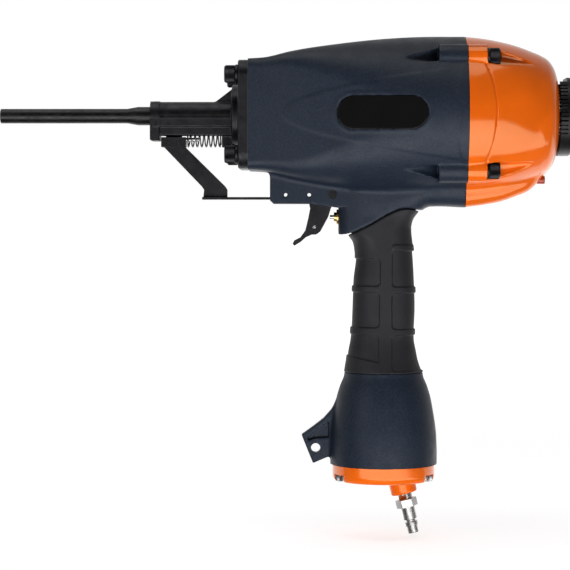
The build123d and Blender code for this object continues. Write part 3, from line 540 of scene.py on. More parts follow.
def underside(x, y, z):
    """Trigger box, neck and keel under the barrel."""
    box = common(polygon(x, z, BOX_OUTLINE), np.abs(y) - CHEEK_HALF, 0.8)
    half = curve(x, KEEL_HALF)
    bottom = curve(x, KEEL_BOTTOM)
    keel = round_box(y, z - (bottom + KEEL_TOP) / 2, half, (KEEL_TOP - bottom) / 2, KEEL_CORNER)
    keel = common(keel, KEEL_FRONT - x, KEEL_FADE)
    neck_half = NECK_HALF - NECK_NARROWING * step(x - NARROWING_X, NARROWING_BLEND)
    neck = round_box(x - (NECK_X[0] + NECK_X[1]) / 2, y, (NECK_X[1] - NECK_X[0]) / 2, neck_half, NECK_CORNER)
    neck = common(neck, between(z, *NECK_Z), 1.0)
    handle = np.maximum(grip_surface(x, y, z, 0.0), between(z, NECK_Z[0], HANDLE_TOP))
    return join(join(join(neck, handle, 3.0), keel, 7.0), box, 0.7)


def upper_housing(x, y, z):
    """The housing from the nose flange to the cap joint, down to the rubber's seam and the core in it."""
    body = join(barrel_casting(x, y, z), underside(x, y, z), 4.5)
    body = common(body, below_seam(x, z) + SEAM_GAP, 0.8)
    body = np.minimum(body, handle_core(x, y, z, UPPER_CORE_Z))
    # trigger slot, open in front and below, and the valve's bore behind it
    slot = np.maximum(np.abs(y) - SLOT_HALF, between(z, *SLOT_Z))
    slot = np.maximum(slot, between(x, *SLOT_X))
    body = cut(body, slot, 0.5)
    body = cut(body, rod_x(x, y, z, VALVE_BORE_AT, VALVE_BORE_RADIUS, *VALVE_BORE_X), 0.4)
    for hole in CHEEK_HOLES:
        body = cut(body, rod_y(x, z, hole, CHEEK_HOLE_RADIUS), 0.4)
    body = cut(body, rod_y(x, z, PIVOT, PIVOT_RADIUS), 0.4)
    # seats of the side plates
    seat = round_box(x - PLATE_X, z - PLATE_Z, PLATE_HALF + SEAT_GAP, PLATE_TALL + SEAT_GAP, ROUND_ENDS)
    surface = PLATE_Y + PLATE_SLOPE * (x - PLATE_X)
    seat = np.maximum(seat, surface - SEAT_DEPTH - np.abs(y))
    body = cut(body, seat, 0.4)
    middle = (BODY_FRONT + JOINT_FRONT) / 2
    return np.maximum(body, np.abs(x - middle) - (JOINT_FRONT - BODY_FRONT) / 2 - PAST / 2)


def lower_housing(x, y, z):
    """The flared foot of the handle with the hanging lug."""
    out = np.hypot(x - HANDLE_X, y)
    bulb = out - curve(z, BULB_RADIUS)
    lug = common(polygon(x, z, LUG_OUTLINE), np.abs(y) - LUG_HALF, 1.2)
    bulb = join(bulb, lug, 3.0)
    pocket = np.maximum(polygon(x, z, LUG_POCKET), LUG_WEB_HALF - np.abs(y))
    bulb = cut(bulb, pocket, 0.8)
    bulb = cut(bulb, rod_y(x, z, LUG_HOLE, LUG_HOLE_RADIUS), 0.5)
    bulb = common(bulb, z - GRIP_BOTTOM, 0.8)
    bulb = np.minimum(bulb, handle_core(x, y, z, LOWER_CORE_Z))
    return np.maximum(bulb, BULB_BOTTOM - PAST / 2 - z)


# ------------------------------------------------------------------ rubber grip
# (low x, high x, low z, high z) of the sunken panels on the grip's flanks
PANELS = [
    (250.0, 283.8, -126.8, -106.4),
    (250.0, 283.2, -157.6, -131.2),
    (250.0, 282.6, -186.0, -162.8),
    (292.6, 330.0, -127.5, -100.9),
    (292.4, 330.0, -159.0, -132.0),
    (292.2, 330.0, -190.0, -163.4),
]
PANEL_DEPTH = 1.05
PANEL_CORNER = 3.0
PANEL_EDGE = 0.7
# the lowest front panel, below and before this (x, z), ends on a slanting edge through a point
LOW_FRONT = (288.0, -160.0)
SLANT_AT = (259.0, -178.7)
SLANT = 0.1875
RIDGE_AT = (312.0, -98.3)
RIDGE_HALF = (19.5, 2.3)
RIDGE_RISE = 0.6


def grip_relief(x, z):
    """Depth of the sunken panels, less the height of the ridge above the rear ones."""
    depth = np.zeros(np.shape(x))
    for low_x, high_x, low_z, high_z in PANELS:
        off_x = x - (low_x + high_x) / 2
        off_z = z - (low_z + high_z) / 2
        panel = round_box(off_x, off_z, (high_x - low_x) / 2, (high_z - low_z) / 2, PANEL_CORNER)
        depth = np.maximum(depth, step(panel, PANEL_EDGE))
    slanted = step(SLANT_AT[1] - SLANT * (x - SLANT_AT[0]) - z, PANEL_EDGE)
    low_front = (x < LOW_FRONT[0]) & (z < LOW_FRONT[1])
    depth = np.where(low_front, np.minimum(depth, slanted), depth)
    ridge = round_box(x - RIDGE_AT[0], z - RIDGE_AT[1], *RIDGE_HALF, 2.0)
    return PANEL_DEPTH * depth - RIDGE_RISE * step(ridge, 1.2)


def grip(x, y, z):
    """The rubber sleeve on the handle."""
    outer = grip_surface(x, y, z, 0.0) + grip_relief(x, z)
    outer = common(outer, SEAM_GAP - below_seam(x, z), 1.0)
    outer = common(outer, GRIP_BOTTOM - z, 1.0)
    return np.maximum(outer, -grip_surface(x, y, z, RUBBER - 0.05))


# ------------------------------------------------------------------ cylinder cap
CAP_HALF = [
    (JOINT_REAR, 58.8),
    (360.8, 57.3),
    (372.8, 55.1),
    (384.8, 52.0),
    (396.8, 47.6),
    (404.0, 44.5),
    (409.0, 41.2),
    (411.7, 37.8),
    (413.6, 33.8),
    (415.2, 27.5),
    (CAP_REAR, 20.0),
]
LOBE_BOTTOM = [
    (JOINT_REAR, -68.3),
    (360.8, -66.5),
    (372.8, -64.2),
    (384.8, -60.2),
    (396.8, -54.6),
    (402.0, -49.5),
    (408.0, -40.0),
    (411.0, -33.0),
    (413.5, -27.0),
    (CAP_REAR, -21.0),
]
LOBE_HALF = [(JOINT_REAR, 23.0), (375.0, 19.0), (392.0, 13.0), (408.0, 7.0)]
LOBE_CORNER = 9.0
# the raised band beside the joint: its bowed rear edge, half height, and the groove along that edge
BAND_REAR = 366.3
BAND_BOW = 10.0
BAND_CHORD = 42.0
BAND_HALF = 41.0
BAND_RISE = 0.4
GROOVE_DEPTH = 0.55
GROOVE_HALF = 0.5
GROOVE_OFFSET = 0.9
HEAD_SEAT = node_box("cap_lock_washers")[0][0]
# screw head pockets run out to a tip that lies nearer the cap's axis than the screw, by this in y and z
POCKET_IN = (5.0, 5.5)
POCKET_END = 400.0
POCKET_STRAIGHT = 10
POCKET_RADIUS = 7.9
VENTS = 6
VENT_CIRCLE = 15
VENT_RADIUS = 4.5
VENT_X = (404.0, 430.0)


def cap(x, y, z):
    """The orange cylinder cap."""
    dome = np.hypot(y, z) - curve(x, CAP_HALF)
    # band beside the joint, bounded by an arc on each side
    arc = BAND_REAR - BAND_BOW * (z / BAND_CHORD) ** 2
    band = step(x - arc, 1.0) * step(np.abs(z) - BAND_HALF, 3.0) * on_flanks(y)
    groove = step(np.abs(x - arc - GROOVE_OFFSET) - GROOVE_HALF, 0.7) * step(np.abs(z) - BAND_HALF, 3.0)
    dome = dome - BAND_RISE * band + GROOVE_DEPTH * groove
    bottom = curve(x, LOBE_BOTTOM)
    lobe_half = curve(x, LOBE_HALF)
    lobe = round_box(y, z - (bottom + KEEL_TOP) / 2, lobe_half, (KEEL_TOP - bottom) / 2, LOBE_CORNER)
    dome = join(dome, lobe, 5.0)
    bosses = cap_screw_fields(x, y, z, JOINT_REAR - BOSS_OVERLAP, HEAD_SEAT, BOSS_RADIUS)
    dome = join(dome, bosses, 1.6)
    spread = np.clip((POCKET_END - x) / (POCKET_END - HEAD_SEAT - POCKET_STRAIGHT), 0.0, 1.0)
    inward = 1 - spread
    off_y = np.abs(y) - SCREW_Y + POCKET_IN[0] * inward
    off_z = np.abs(z) - SCREW_Z + POCKET_IN[1] * inward
    cone = np.hypot(off_y, off_z) - POCKET_RADIUS * spread
    dome = cut(dome, np.maximum(cone, between(x, HEAD_SEAT, POCKET_END)), 1.0)
    dome = common(dome, x - CAP_REAR, 2.0)
    for number in range(VENTS):
        angle = math.radians(360 / VENTS * (number + 0.5))
        at = (VENT_CIRCLE * math.cos(angle), VENT_CIRCLE * math.sin(angle))
        dome = cut(dome, rod_x(x, y, z, at, VENT_RADIUS, *VENT_X), 0.5)
    return np.maximum(dome, JOINT_REAR - PAST / 2 - x)


# ------------------------------------------------------------------ handle end cap
END_RADIUS = (node_box("end_cap")[1][0] - node_box("end_cap")[0][0]) / 2
END_BOTTOM = -273.0
PLUG_FOOT = (300.3, -273.0)
PLUG_LEAN = math.radians(13.4)
PLUG_BOSS_RADIUS = 10.0
PLUG_BOSS_ALONG = (-9.0, 10.0)
PLUG_BORE_RADIUS = 4.4
PLUG_BORE_ALONG = (-30.0, 30.0)
END_SCREW = (32.0, 13.0)
NOTCH_WAY = (math.sin(math.radians(8)), math.cos(math.radians(8)))
NOTCH_REACH = 12.0
NOTCH_TOP = -267.4
NOTCH_HALF = 3.4
NOTCH_SEAT_RADIUS = 4.6


def end_cap(x, y, z):
    """The orange cap that closes the handle and carries the air plug."""
    across = x - HANDLE_X
    cup = common(np.hypot(across, y) - END_RADIUS, END_BOTTOM - z, 5.0)
    along = (x - PLUG_FOOT[0]) * math.sin(PLUG_LEAN) - (z - PLUG_FOOT[1]) * math.cos(PLUG_LEAN)
    off = (x - PLUG_FOOT[0]) * math.cos(PLUG_LEAN) + (z - PLUG_FOOT[1]) * math.sin(PLUG_LEAN)
    boss = common(np.hypot(off, y) - PLUG_BOSS_RADIUS, between(along, *PLUG_BOSS_ALONG), 1.0)
    cup = join(cup, boss, 1.5)
    # screw pockets, each open to the rim
    u = np.abs(across) - END_SCREW[0]
    v = np.abs(y) - END_SCREW[1]
    t = np.clip((u * NOTCH_WAY[0] + v * NOTCH_WAY[1]) / NOTCH_REACH, 0, 1) * NOTCH_REACH
    notch = np.hypot(u - t * NOTCH_WAY[0], v - t * NOTCH_WAY[1]) - NOTCH_HALF
    notch = np.minimum(notch, np.hypot(u, v) - NOTCH_SEAT_RADIUS)
    cup = cut(cup, np.maximum(notch, z - NOTCH_TOP), 0.4)
    bore = np.maximum(np.hypot(off, y) - PLUG_BORE_RADIUS, between(along, *PLUG_BORE_ALONG))
    cup = np.maximum(cup, -bore)
    return np.maximum(cup, z - END_CAP_TOP - PAST / 2)


# ------------------------------------------------------------------ nose body
COLLAR_FRONT = node_box("nose_body")[0][0]
FLANGE_REAR = node_box("nose_body")[1][0]
NOSE_FRONT = 119.5
NOSE_DISC = 173.5
FLANGE_FRONT = 178.7
FLANGE_HALF = 40.0
FLANGE_CORNER = 12.0
DISC_RADIUS = 23.2
TUBE_RADIUS = 10.6
TUBE_OVERLAP = (4, 2)
NOSE_KEEL_HALF = 9.5
NOSE_KEEL_BOTTOM = -14.7
RIB_HALF = 10.7
RIB_Z = (-8.2, -0.9)
COLLAR_RADIUS = 11.0
COLLAR_HALF = 10.8
COLLAR_BOTTOM = -18.8
# bevel under the collar's front edge, and the factor that makes it a distance
COLLAR_SLANT = 17.8
COLLAR_LEAN = 0.7
GUSSET_OUTLINE = [(159.0, 9.0), (176.0, 9.0), (176.0, 22.0)]
GUSSET_HALF = 2.5
SPRING_SEAT_FRONT = 166.0
SPRING_SEAT_Z = (-23.5, -14.0)
SPRING_SEAT_HALF = 8.0
CHANNEL_HALF = 6.6
CHANNEL_Z = (-16.0, -11.2)
ARM_SLOT_HALF = 3.0
ARM_SLOT_X = (122.0, 150.0)
ARM_SLOT_Z = (-12.0, 0.0)
BARREL_BORE = 6.98
BARREL_BORE_END = 163.0
BLADE_BORE = 6.03
NOSE_SCREW = 29.5
NOSE_SCREW_HOLE = 4.25


def nose_body(x, y, z):
    """The black nose casting: round on top, square below, with its disc and flange plate."""
    side = np.abs(y)
    out = np.hypot(y, z)
    length = between(x, NOSE_FRONT - TUBE_OVERLAP[0], NOSE_DISC + TUBE_OVERLAP[1])
    tube = np.maximum(out - TUBE_RADIUS, length)
    keel = common(side - NOSE_KEEL_HALF, between(z, NOSE_KEEL_BOTTOM, 0.0), 0.8)
    rib = common(side - RIB_HALF, between(z, *RIB_Z), 0.7)
    lower = np.maximum(np.minimum(keel, rib), length)
    collar = np.minimum(out - COLLAR_RADIUS, np.maximum(side - COLLAR_HALF, between(z, COLLAR_BOTTOM, 0.0)))
    collar = common(collar, (COLLAR_FRONT - x - z - COLLAR_SLANT) * COLLAR_LEAN, 0.6)
    collar = common(collar, x - NOSE_FRONT, 0.7)
    disc = common(out - DISC_RADIUS, between(x, NOSE_DISC, FLANGE_FRONT + 3), 1.2)
    plate = round_box(y, z, FLANGE_HALF, FLANGE_HALF, FLANGE_CORNER)
    plate = common(plate, FLANGE_FRONT - x, 1.6)
    gusset = common(polygon(x, z, GUSSET_OUTLINE), side - GUSSET_HALF, 0.6)
    seat = np.maximum(between(x, SPRING_SEAT_FRONT, NOSE_DISC + TUBE_OVERLAP[1]), between(z, *SPRING_SEAT_Z))
    seat = common(seat, side - SPRING_SEAT_HALF, 0.8)
    body = join(join(tube, lower, 0.6), collar, 0.8)
    body = join(join(body, disc, 1.5), join(gusset, seat, 0.5), 1.0)
    body = join(body, plate, 1.2)
    channel = np.maximum(between(z, *CHANNEL_Z), between(x, NOSE_FRONT, SPRING_SEAT_FRONT))
    channel = np.maximum(side - CHANNEL_HALF, channel)
    slot = np.maximum(between(z, *ARM_SLOT_Z), between(x, *ARM_SLOT_X))
    slot = np.maximum(side - ARM_SLOT_HALF, slot)
    bore = np.minimum(np.maximum(out - BARREL_BORE, x - BARREL_BORE_END), out - BLADE_BORE)
    holes = np.hypot(side - NOSE_SCREW, np.abs(z) - NOSE_SCREW) - NOSE_SCREW_HOLE
    for hollow in (channel, slot, bore, holes):
        body = cut(body, hollow, 0.35)
    return np.maximum(body, np.maximum(COLLAR_FRONT - PAST / 2 - x, x - FLANGE_REAR - PAST / 2))


# ------------------------------------------------------------------ procedural materials


class Look:
    """A procedural material: a Principled shader whose sockets take plain values or node outputs."""

    def __init__(self, name, color, roughness, **sockets):
        self.material = bpy.data.materials.new(name)
        self.material.use_nodes = True
        self.nodes = self.material.node_tree.nodes
        self.links = self.material.node_tree.links
        self.shader = self.nodes["Principled BSDF"]
        self.place = self.nodes.new("ShaderNodeTexCoord").outputs["Object"]
        self.shader.inputs["Base Color"].default_value = (*color, 1.0)
        self.shader.inputs["Roughness"].default_value = roughness
        for socket, value in sockets.items():
            self.shader.inputs[socket.replace("_", " ")].default_value = value
        self.bump_normal = None

    def noise(self, size, detail=3.0, stretch=(1.0, 1.0, 1.0)):
        """Noise with features of about size millimetres, stretched along the axes."""
        mapping = self.nodes.new("ShaderNodeMapping")
        mapping.inputs["Scale"].default_value = [1.0 / s for s in stretch]
        self.links.new(self.place, mapping.inputs["Vector"])
        texture = self.nodes.new("ShaderNodeTexNoise")
        texture.inputs["Scale"].default_value = 1.0 / (size * MM)
        texture.inputs["Detail"].default_value = detail
        self.links.new(mapping.outputs["Vector"], texture.inputs["Vector"])
        return texture.outputs["Fac"]

    def rings(self, pitch, axis, waver=0.5):
        """Fine machining lines across an axis, pitch millimetres apart."""
        texture = self.nodes.new("ShaderNodeTexWave")
        texture.bands_direction = axis
        texture.inputs["Scale"].default_value = 0.314 / (pitch * MM)
        texture.inputs["Distortion"].default_value = waver
        texture.inputs["Detail"].default_value = 2.0
        self.links.new(self.place, texture.inputs["Vector"])
        return texture.outputs["Fac"]

    def ramp(self, factor, low, high, start=0.35, end=0.65):
        """Colours or greys between low and high as factor goes from start to end."""
        ramp = self.nodes.new("ShaderNodeValToRGB")
        ramp.color_ramp.elements[0].position = start
        ramp.color_ramp.elements[1].position = end
        for element, value in zip(ramp.color_ramp.elements, (low, high)):
            color = value if isinstance(value, tuple) else (value, value, value)
            element.color = (*color, 1.0)
        self.links.new(factor, ramp.inputs["Fac"])
        return ramp.outputs["Color"]

    def drive(self, socket, output):
        """Let a node's output set one of the shader's sockets."""
        self.links.new(output, self.shader.inputs[socket])
        return self

    def bump(self, height, depth):
        """Relief of the given depth in millimetres, on top of any relief already there."""
        node = self.nodes.new("ShaderNodeBump")
        node.inputs["Strength"].default_value = 1.0
        node.inputs["Distance"].default_value = depth * MM
        self.links.new(height, node.inputs["Height"])
        if self.bump_normal:
            self.links.new(self.bump_normal, node.inputs["Normal"])
        self.bump_normal = node.outputs["Normal"]
        self.links.new(self.bump_normal, self.shader.inputs["Normal"])
        return self


def tint(color, factor):
    """A colour made lighter or darker."""
    return tuple(min(1.0, channel * factor) for channel in color)


def coated(name, color, roughness, grain, relief, speckle=0.07, spot=28.0, **sockets):
    """Painted or powder-coated metal: orange peel, and colour and gloss that vary a little."""
    look = Look(name, color, roughness, **sockets)
    spots = look.noise(spot, 2.0)
    look.drive("Base Color", look.ramp(spots, tint(color, 1 - speckle), tint(color, 1 + speckle)))
    look.drive("Roughness", look.ramp(look.noise(9.0, 4.0), roughness * 0.9, roughness * 1.12))
    look.bump(look.noise(grain, 2.0), relief)
    return look.material


def steel(name, color, roughness, axis="X", pitch=0.35, relief=0.004, **sockets):
    """Turned, drawn or blued steel with faint tool lines and smudges."""
    look = Look(name, color, roughness, Metallic=1.0, **sockets)
    look.drive("Base Color", look.ramp(look.noise(12.0, 4.0), tint(color, 0.85), tint(color, 1.12)))
    look.drive("Roughness", look.ramp(look.noise(5.0, 5.0), roughness * 0.8, roughness * 1.2))
    look.bump(look.rings(pitch, axis), relief)
    return look.material


def moulded(name, color, roughness, grain, relief, **sockets):
    """Moulded rubber or plastic with a fine spark-eroded grain."""
    look = Look(name, color, roughness, **sockets)
    look.drive("Base Color", look.ramp(look.noise(14.0, 3.0), tint(color, 0.9), tint(color, 1.1)))
    look.drive("Roughness", look.ramp(look.noise(3.0, 4.0), roughness * 0.92, roughness * 1.08))
    look.bump(look.noise(grain, 3.0), relief)
    return look.material


SLATE = (0.0082, 0.0128, 0.0222)
ORANGE = (0.72, 0.113, 0.0035)
WARM_GLOSS = (1.0, 0.86, 0.5, 1.0)
OXIDE = (0.030, 0.0293, 0.032)
PARKERISED = (0.034, 0.033, 0.033)
GRIP_BLACK = (0.011, 0.011, 0.013)
PLUG_RED = (0.26, 0.028, 0.009)
LOOKS = {
    "slate_coat": coated("slate_powder_coat", SLATE, 0.46, 1.4, 0.055, 0.3, 1.3, Specular_IOR_Level=0.24),
    "orange_gloss": coated(
        "orange_gloss", ORANGE, 0.13, 2.2, 0.005, Specular_IOR_Level=0.75, Specular_Tint=WARM_GLOSS
    ),
    "red_plug": coated("red_plug_paint", PLUG_RED, 0.35, 1.5, 0.006, Coat_Weight=0.3),
    "grip_rubber": moulded("grip_rubber", GRIP_BLACK, 0.55, 0.5, 0.014, Specular_IOR_Level=0.26),
    "seal_rubber": moulded("seal_rubber", (0.012, 0.012, 0.012), 0.5, 0.6, 0.006),
    "bumper_rubber": moulded("bumper_rubber", (0.10, 0.085, 0.05), 0.5, 0.8, 0.010),
    "deflector_plastic": moulded(
        "deflector_plastic", (0.005, 0.005, 0.005), 0.30, 0.5, 0.004, Specular_IOR_Level=0.2
    ),
    "plate_black": moulded("name_plate_gloss", (0.002, 0.002, 0.002), 0.10, 3.0, 0.001, Coat_Weight=0.4),
    "black_oxide": steel("black_oxide_steel", OXIDE, 0.42, "X", 0.6, 0.003),
    "barrel_steel": steel("parkerised_steel", PARKERISED, 0.38, "X", 0.5, 0.004),
    "bright_steel": steel("ground_steel", (0.60, 0.60, 0.61), 0.24, "X", 0.3, 0.003),
    "spring_steel": steel("spring_wire", (0.16, 0.16, 0.165), 0.34, "DIAGONAL", 0.3, 0.002),
    "plug_steel": steel("plated_plug_steel", (0.62, 0.61, 0.595), 0.28, "Z", 0.4, 0.003),
    "brass": steel("machined_brass", (0.68, 0.46, 0.18), 0.28, "X", 0.4, 0.003),
    "cast_aluminium": steel("machined_aluminium", (0.62, 0.63, 0.65), 0.34, "X", 0.4, 0.004),
}

for node, obj in frame["nodes"].items():
    obj.data.materials.clear()
    obj.data.materials.append(LOOKS[SLOT_OF[node]])


# ------------------------------------------------------------------ castings and mouldings
FORWARD = (-1, 0, 0)
BACKWARD = (1, 0, 0)
# (name, field, box's low and high corner, cell, node, look, planes that close it)
CASTINGS = [
    (
        "housing_body", upper_housing, (BODY_FRONT, -62, -141), (JOINT_FRONT, 62, 62), 1.1,
        "main_housing", "slate_coat", [((BODY_FRONT, 0, 0), FORWARD), ((JOINT_FRONT, 0, 0), BACKWARD)],
    ),
    (
        "housing_foot", lower_housing, (222, -42, BULB_BOTTOM), (330, 42, -140), 1.0,
        "main_housing", "slate_coat", [((0, 0, BULB_BOTTOM), (0, 0, -1))],
    ),
    (
        "rubber_grip", grip, (252, -32, GRIP_BOTTOM), (324, 32, -66), 0.68,
        "grip_sleeve", "grip_rubber", [],
    ),
    (
        "orange_cap", cap, (JOINT_REAR, -60, -70), (CAP_REAR, 60, 62), 0.9,
        "cylinder_cap", "orange_gloss", [((JOINT_REAR, 0, 0), FORWARD)],
    ),
    (
        "orange_end_cap", end_cap, (245, -42, -290), (330, 42, END_CAP_TOP), 0.8,
        "end_cap", "orange_gloss", [((0, 0, END_CAP_TOP), (0, 0, 1))],
    ),
    (
        "nose_casting", nose_body, (COLLAR_FRONT, -40, -40), (FLANGE_REAR, 40, 40), 0.55,
        "nose_body", "black_oxide", [((COLLAR_FRONT, 0, 0), FORWARD), ((FLANGE_REAR, 0, 0), BACKWARD)],
    ),
]
for name, field, low, high, cell, node, look, planes in CASTINGS:
    cast(name, field, low, high, cell, node, "housing", LOOKS[look], planes)


# ------------------------------------------------------------------ springs, screws and lock washers
# points round a turned piece, along one turn of a spring, and round its wire
AROUND = 120
PER_TURN = 24
ROUND_WIRE = 12
ALONG_X = np.array([1.0, 0.0, 0.0])


def merged(parts):
    """Several (vertices, faces) pairs as one."""
    vertices = []
    faces = []
    count = 0
    for points, polygons in parts:
        vertices.append(points)
        faces += [[count + i for i in corners] for corners in polygons]
        count += len(points)
    return np.concatenate(vertices), faces


def skinned(rows):
    """A closed surface through rows of points, each row a loop, flat at both ends."""
    rows = np.asarray(rows)
    count, size = rows.shape[:2]
    faces = [
        [r * size + i, r * size + (i + 1) % size, (r + 1) * size + (i + 1) % size, (r + 1) * size + i]
        for r in range(count - 1)
        for i in range(size)
    ]
    faces.append(list(range(size))[::-1])
    faces.append(list(range((count - 1) * size, count * size)))
    return rows.reshape(-1, 3), faces


def round_x(turn):
    """Unit vectors square to X at the given turns."""
    return np.stack([0 * turn, np.cos(turn), np.sin(turn)], -1)


def coil(low, high, centre, mean_radius, wire, turns, dead=0.8):
    """A compression spring along X: active turns between closed ends that are ground flat."""
    turn = np.arange(0.0, (turns + 2 * dead) * PER_TURN + 1) / PER_TURN
    closed_pitch = 2.0 * wire
    pitch = (high - low - 2 * wire - 2 * dead * closed_pitch) / turns
    ends = closed_pitch * (np.minimum(turn, dead) + np.maximum(turn - dead - turns, 0))
    x = low + wire + ends + pitch * np.clip(turn - dead, 0, turns)
    outward = round_x(2 * math.pi * turn)
    path = np.array([0.0, centre[0], centre[1]]) + x[:, None] * ALONG_X + mean_radius * outward
    section = 2 * math.pi * np.arange(ROUND_WIRE) / ROUND_WIRE
    ring = np.cos(section)[:, None] * ALONG_X + np.sin(section)[:, None] * outward[:, None]
    rows = path[:, None] + wire * ring
    rows[..., 0] = np.clip(rows[..., 0], low, high)
    return skinned(rows)


def spring(node, wire, turns, joint=None):
    """A spring in the space of its CAD node; a spring that has a joint gets a mesh of its own."""
    low, high = node_box(node)
    centre = (low[1:] + high[1:]) / 2
    outer = (high[2] - low[2]) / 2
    vertices, faces = coil(low[0], high[0], centre, outer - wire, wire, turns)
    piece = new_piece(node + "_coil", vertices, faces, node, "housing", LOOKS["spring_steel"], (), 50)
    if joint:
        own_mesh(piece)


spring("contact_spring", 0.55, 7.0, "contact_slide")
spring("head_valve_spring", 1.2, 3.6, "head_valve_slide")
spring("trigger_valve_spring", 0.3, 5.2, "valve_stem_slide")


def lathe(start, direction, rings):
    """A closed turned surface of (distance along the axis, radius) rings; a radius may vary round a ring."""
    direction = np.array(direction, float)
    across = np.cross(direction, (0.0, 1.0, 0.0))
    across /= np.linalg.norm(across)
    turn = 2 * math.pi * np.arange(AROUND) / AROUND
    wheel = np.cos(turn)[:, None] * across + np.sin(turn)[:, None] * np.cross(direction, across)
    rows = []
    for along, radius in rings:
        spoke = np.broadcast_to(radius, AROUND)[:, None]
        rows.append(start + along * direction + wheel * spoke)
    return skinned(rows)


# depth of a screw head's knurl, as a share of its radius
KNURL = 0.045


def socket_screw(seat, direction, shank, shank_radius, head_radius, head, socket):
    """A knurled socket head cap screw: seat is under the head, and direction points out of the head."""
    turn = 2 * math.pi * np.arange(AROUND) / AROUND
    knurl = head_radius - KNURL * head_radius * (np.arange(AROUND) % 2)
    hexagon = socket * math.cos(math.pi / 6) / np.cos(turn % (math.pi / 3) - math.pi / 6)
    rings = [
        (-shank, 0.75 * shank_radius),
        (-shank + 0.25 * shank_radius, shank_radius),
        (0.0, shank_radius),
        (0.0, 0.96 * head_radius),
        (0.05 * head, head_radius),
        (0.10 * head, knurl),
        (0.82 * head, knurl),
        (0.90 * head, 0.96 * head_radius),
        (0.97 * head, 0.90 * head_radius),
        (head, 0.84 * head_radius),
        (head, socket + 0.09 * head_radius),
        (0.95 * head, hexagon),
        (0.47 * head, hexagon),
        (0.42 * head, 0.3 * hexagon),
    ]
    return lathe(seat, direction, rings)


SPLIT = 0.10
SPLIT_LIFT = 0.12
WASHER_BEVEL = 0.25
WASHER_INNER = 4.1


def split_ring(low, high, centre, inner, outer):
    """A spring lock washer: a ring of square section with a gap, its ends a little out of line."""
    turn = np.linspace(SPLIT, 2 * math.pi - SPLIT, 73)
    half_x = (high - low) / 2 - SPLIT_LIFT
    half_r = (outer - inner) / 2
    bevel = WASHER_BEVEL
    section = []
    for a, b in ((1, -1), (1, 1), (-1, 1), (-1, -1)):
        near = [(a * (half_x - bevel), b * half_r), (a * half_x, b * (half_r - bevel))]
        section += near if a * b < 0 else near[::-1]
    section = np.array(section)
    outward = round_x(turn)
    x = (low + high) / 2 + SPLIT_LIFT * (turn / math.pi - 1)
    path = np.array([0.0, *centre]) + x[:, None] * ALONG_X + (inner + outer) / 2 * outward
    return skinned(path[:, None] + section[None, :, :1] * ALONG_X + section[None, :, 1:] * outward[:, None])


def corner_places(node, radius):
    """The four axes, as (y, z), of like parts of a given radius at the corners of a node's box."""
    low, high = node_box(node)
    return [(y * (high[1] - radius), z * (high[2] - radius)) for y in (-1, 1) for z in (-1, 1)]


M8 = {"shank_radius": 4.0, "head_radius": 6.5, "head": 8.0, "socket": 3.4}
M5 = {"shank_radius": 2.5, "head_radius": 4.2, "head": 4.2, "socket": 2.3}

for node, way in (("nose_screws", -1), ("cap_screws", 1)):
    low, high = node_box(node)
    seat = low[0] + M8["head"] if way < 0 else high[0] - M8["head"]
    shank = high[0] - low[0] - M8["head"]
    places = corner_places(node, M8["head_radius"])
    screws = [socket_screw((seat, y, z), (way, 0, 0), shank, **M8) for y, z in places]
    new_piece(node + "_knurled", *merged(screws), node, "housing", LOOKS["black_oxide"], (), 30)

for node, radius in (("nose_lock_washers", 7.0), ("cap_lock_washers", 6.9)):
    low, high = node_box(node)
    places = corner_places(node, radius)
    rings = [split_ring(low[0], high[0], place, WASHER_INNER, radius) for place in places]
    new_piece(node + "_split", *merged(rings), node, "housing", LOOKS["black_oxide"], (), 30)

low, high = node_box("end_cap_screws")
seat = low[2] + M5["head"]
shank = high[2] - low[2] - M5["head"]
screws = [
    socket_screw((x, side * (high[1] - M5["head_radius"]), seat), (0, 0, -1), shank, **M5)
    for x in (low[0] + M5["head_radius"], high[0] - M5["head_radius"])
    for side in (-1, 1)
]
bright = LOOKS["bright_steel"]
new_piece("end_cap_screws_knurled", *merged(screws), "end_cap_screws", "housing", bright, (), 30)


# ------------------------------------------------------------------ machined parts with broken edges


# corners turning more than this are edges to break
SHARP = math.radians(40)


def broken_edges(node, bevel, body):
    """A CAD node's shape with its sharp outer edges rounded off, as a new piece in its place."""
    mesh = frame["nodes"][node].data.copy()
    bm = bmesh.new()
    bm.from_mesh(mesh)
    bmesh.ops.remove_doubles(bm, verts=bm.verts, dist=2e-6)
    bmesh.ops.dissolve_limit(bm, angle_limit=math.radians(0.5), verts=bm.verts, edges=bm.edges)
    bm.normal_update()
    sharp = [e for e in bm.edges if e.is_manifold and e.is_convex and e.calc_face_angle() > SHARP]
    bmesh.ops.bevel(
        bm, geom=sharp, offset=bevel * MM, segments=2, profile=0.5, affect="EDGES", clamp_overlap=True
    )
    bm.to_mesh(mesh)
    bm.free()
    mesh.polygons.foreach_set("use_smooth", [True] * len(mesh.polygons))
    mesh.set_sharp_from_angle(angle=math.radians(35))
    piece = bpy.data.objects.new(node + "_finished", mesh)
    bpy.context.scene.collection.objects.link(piece)
    piece.matrix_world = frame["nodes"][node].matrix_world
    weighted = piece.modifiers.new("flat_faces", "WEIGHTED_NORMAL")
    weighted.keep_sharp = True
    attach(piece, body)
    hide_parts(node)


BODY_OF = {node: body for body, nodes in frame["record"]["behaviour"]["bodies"].items() for node in nodes}
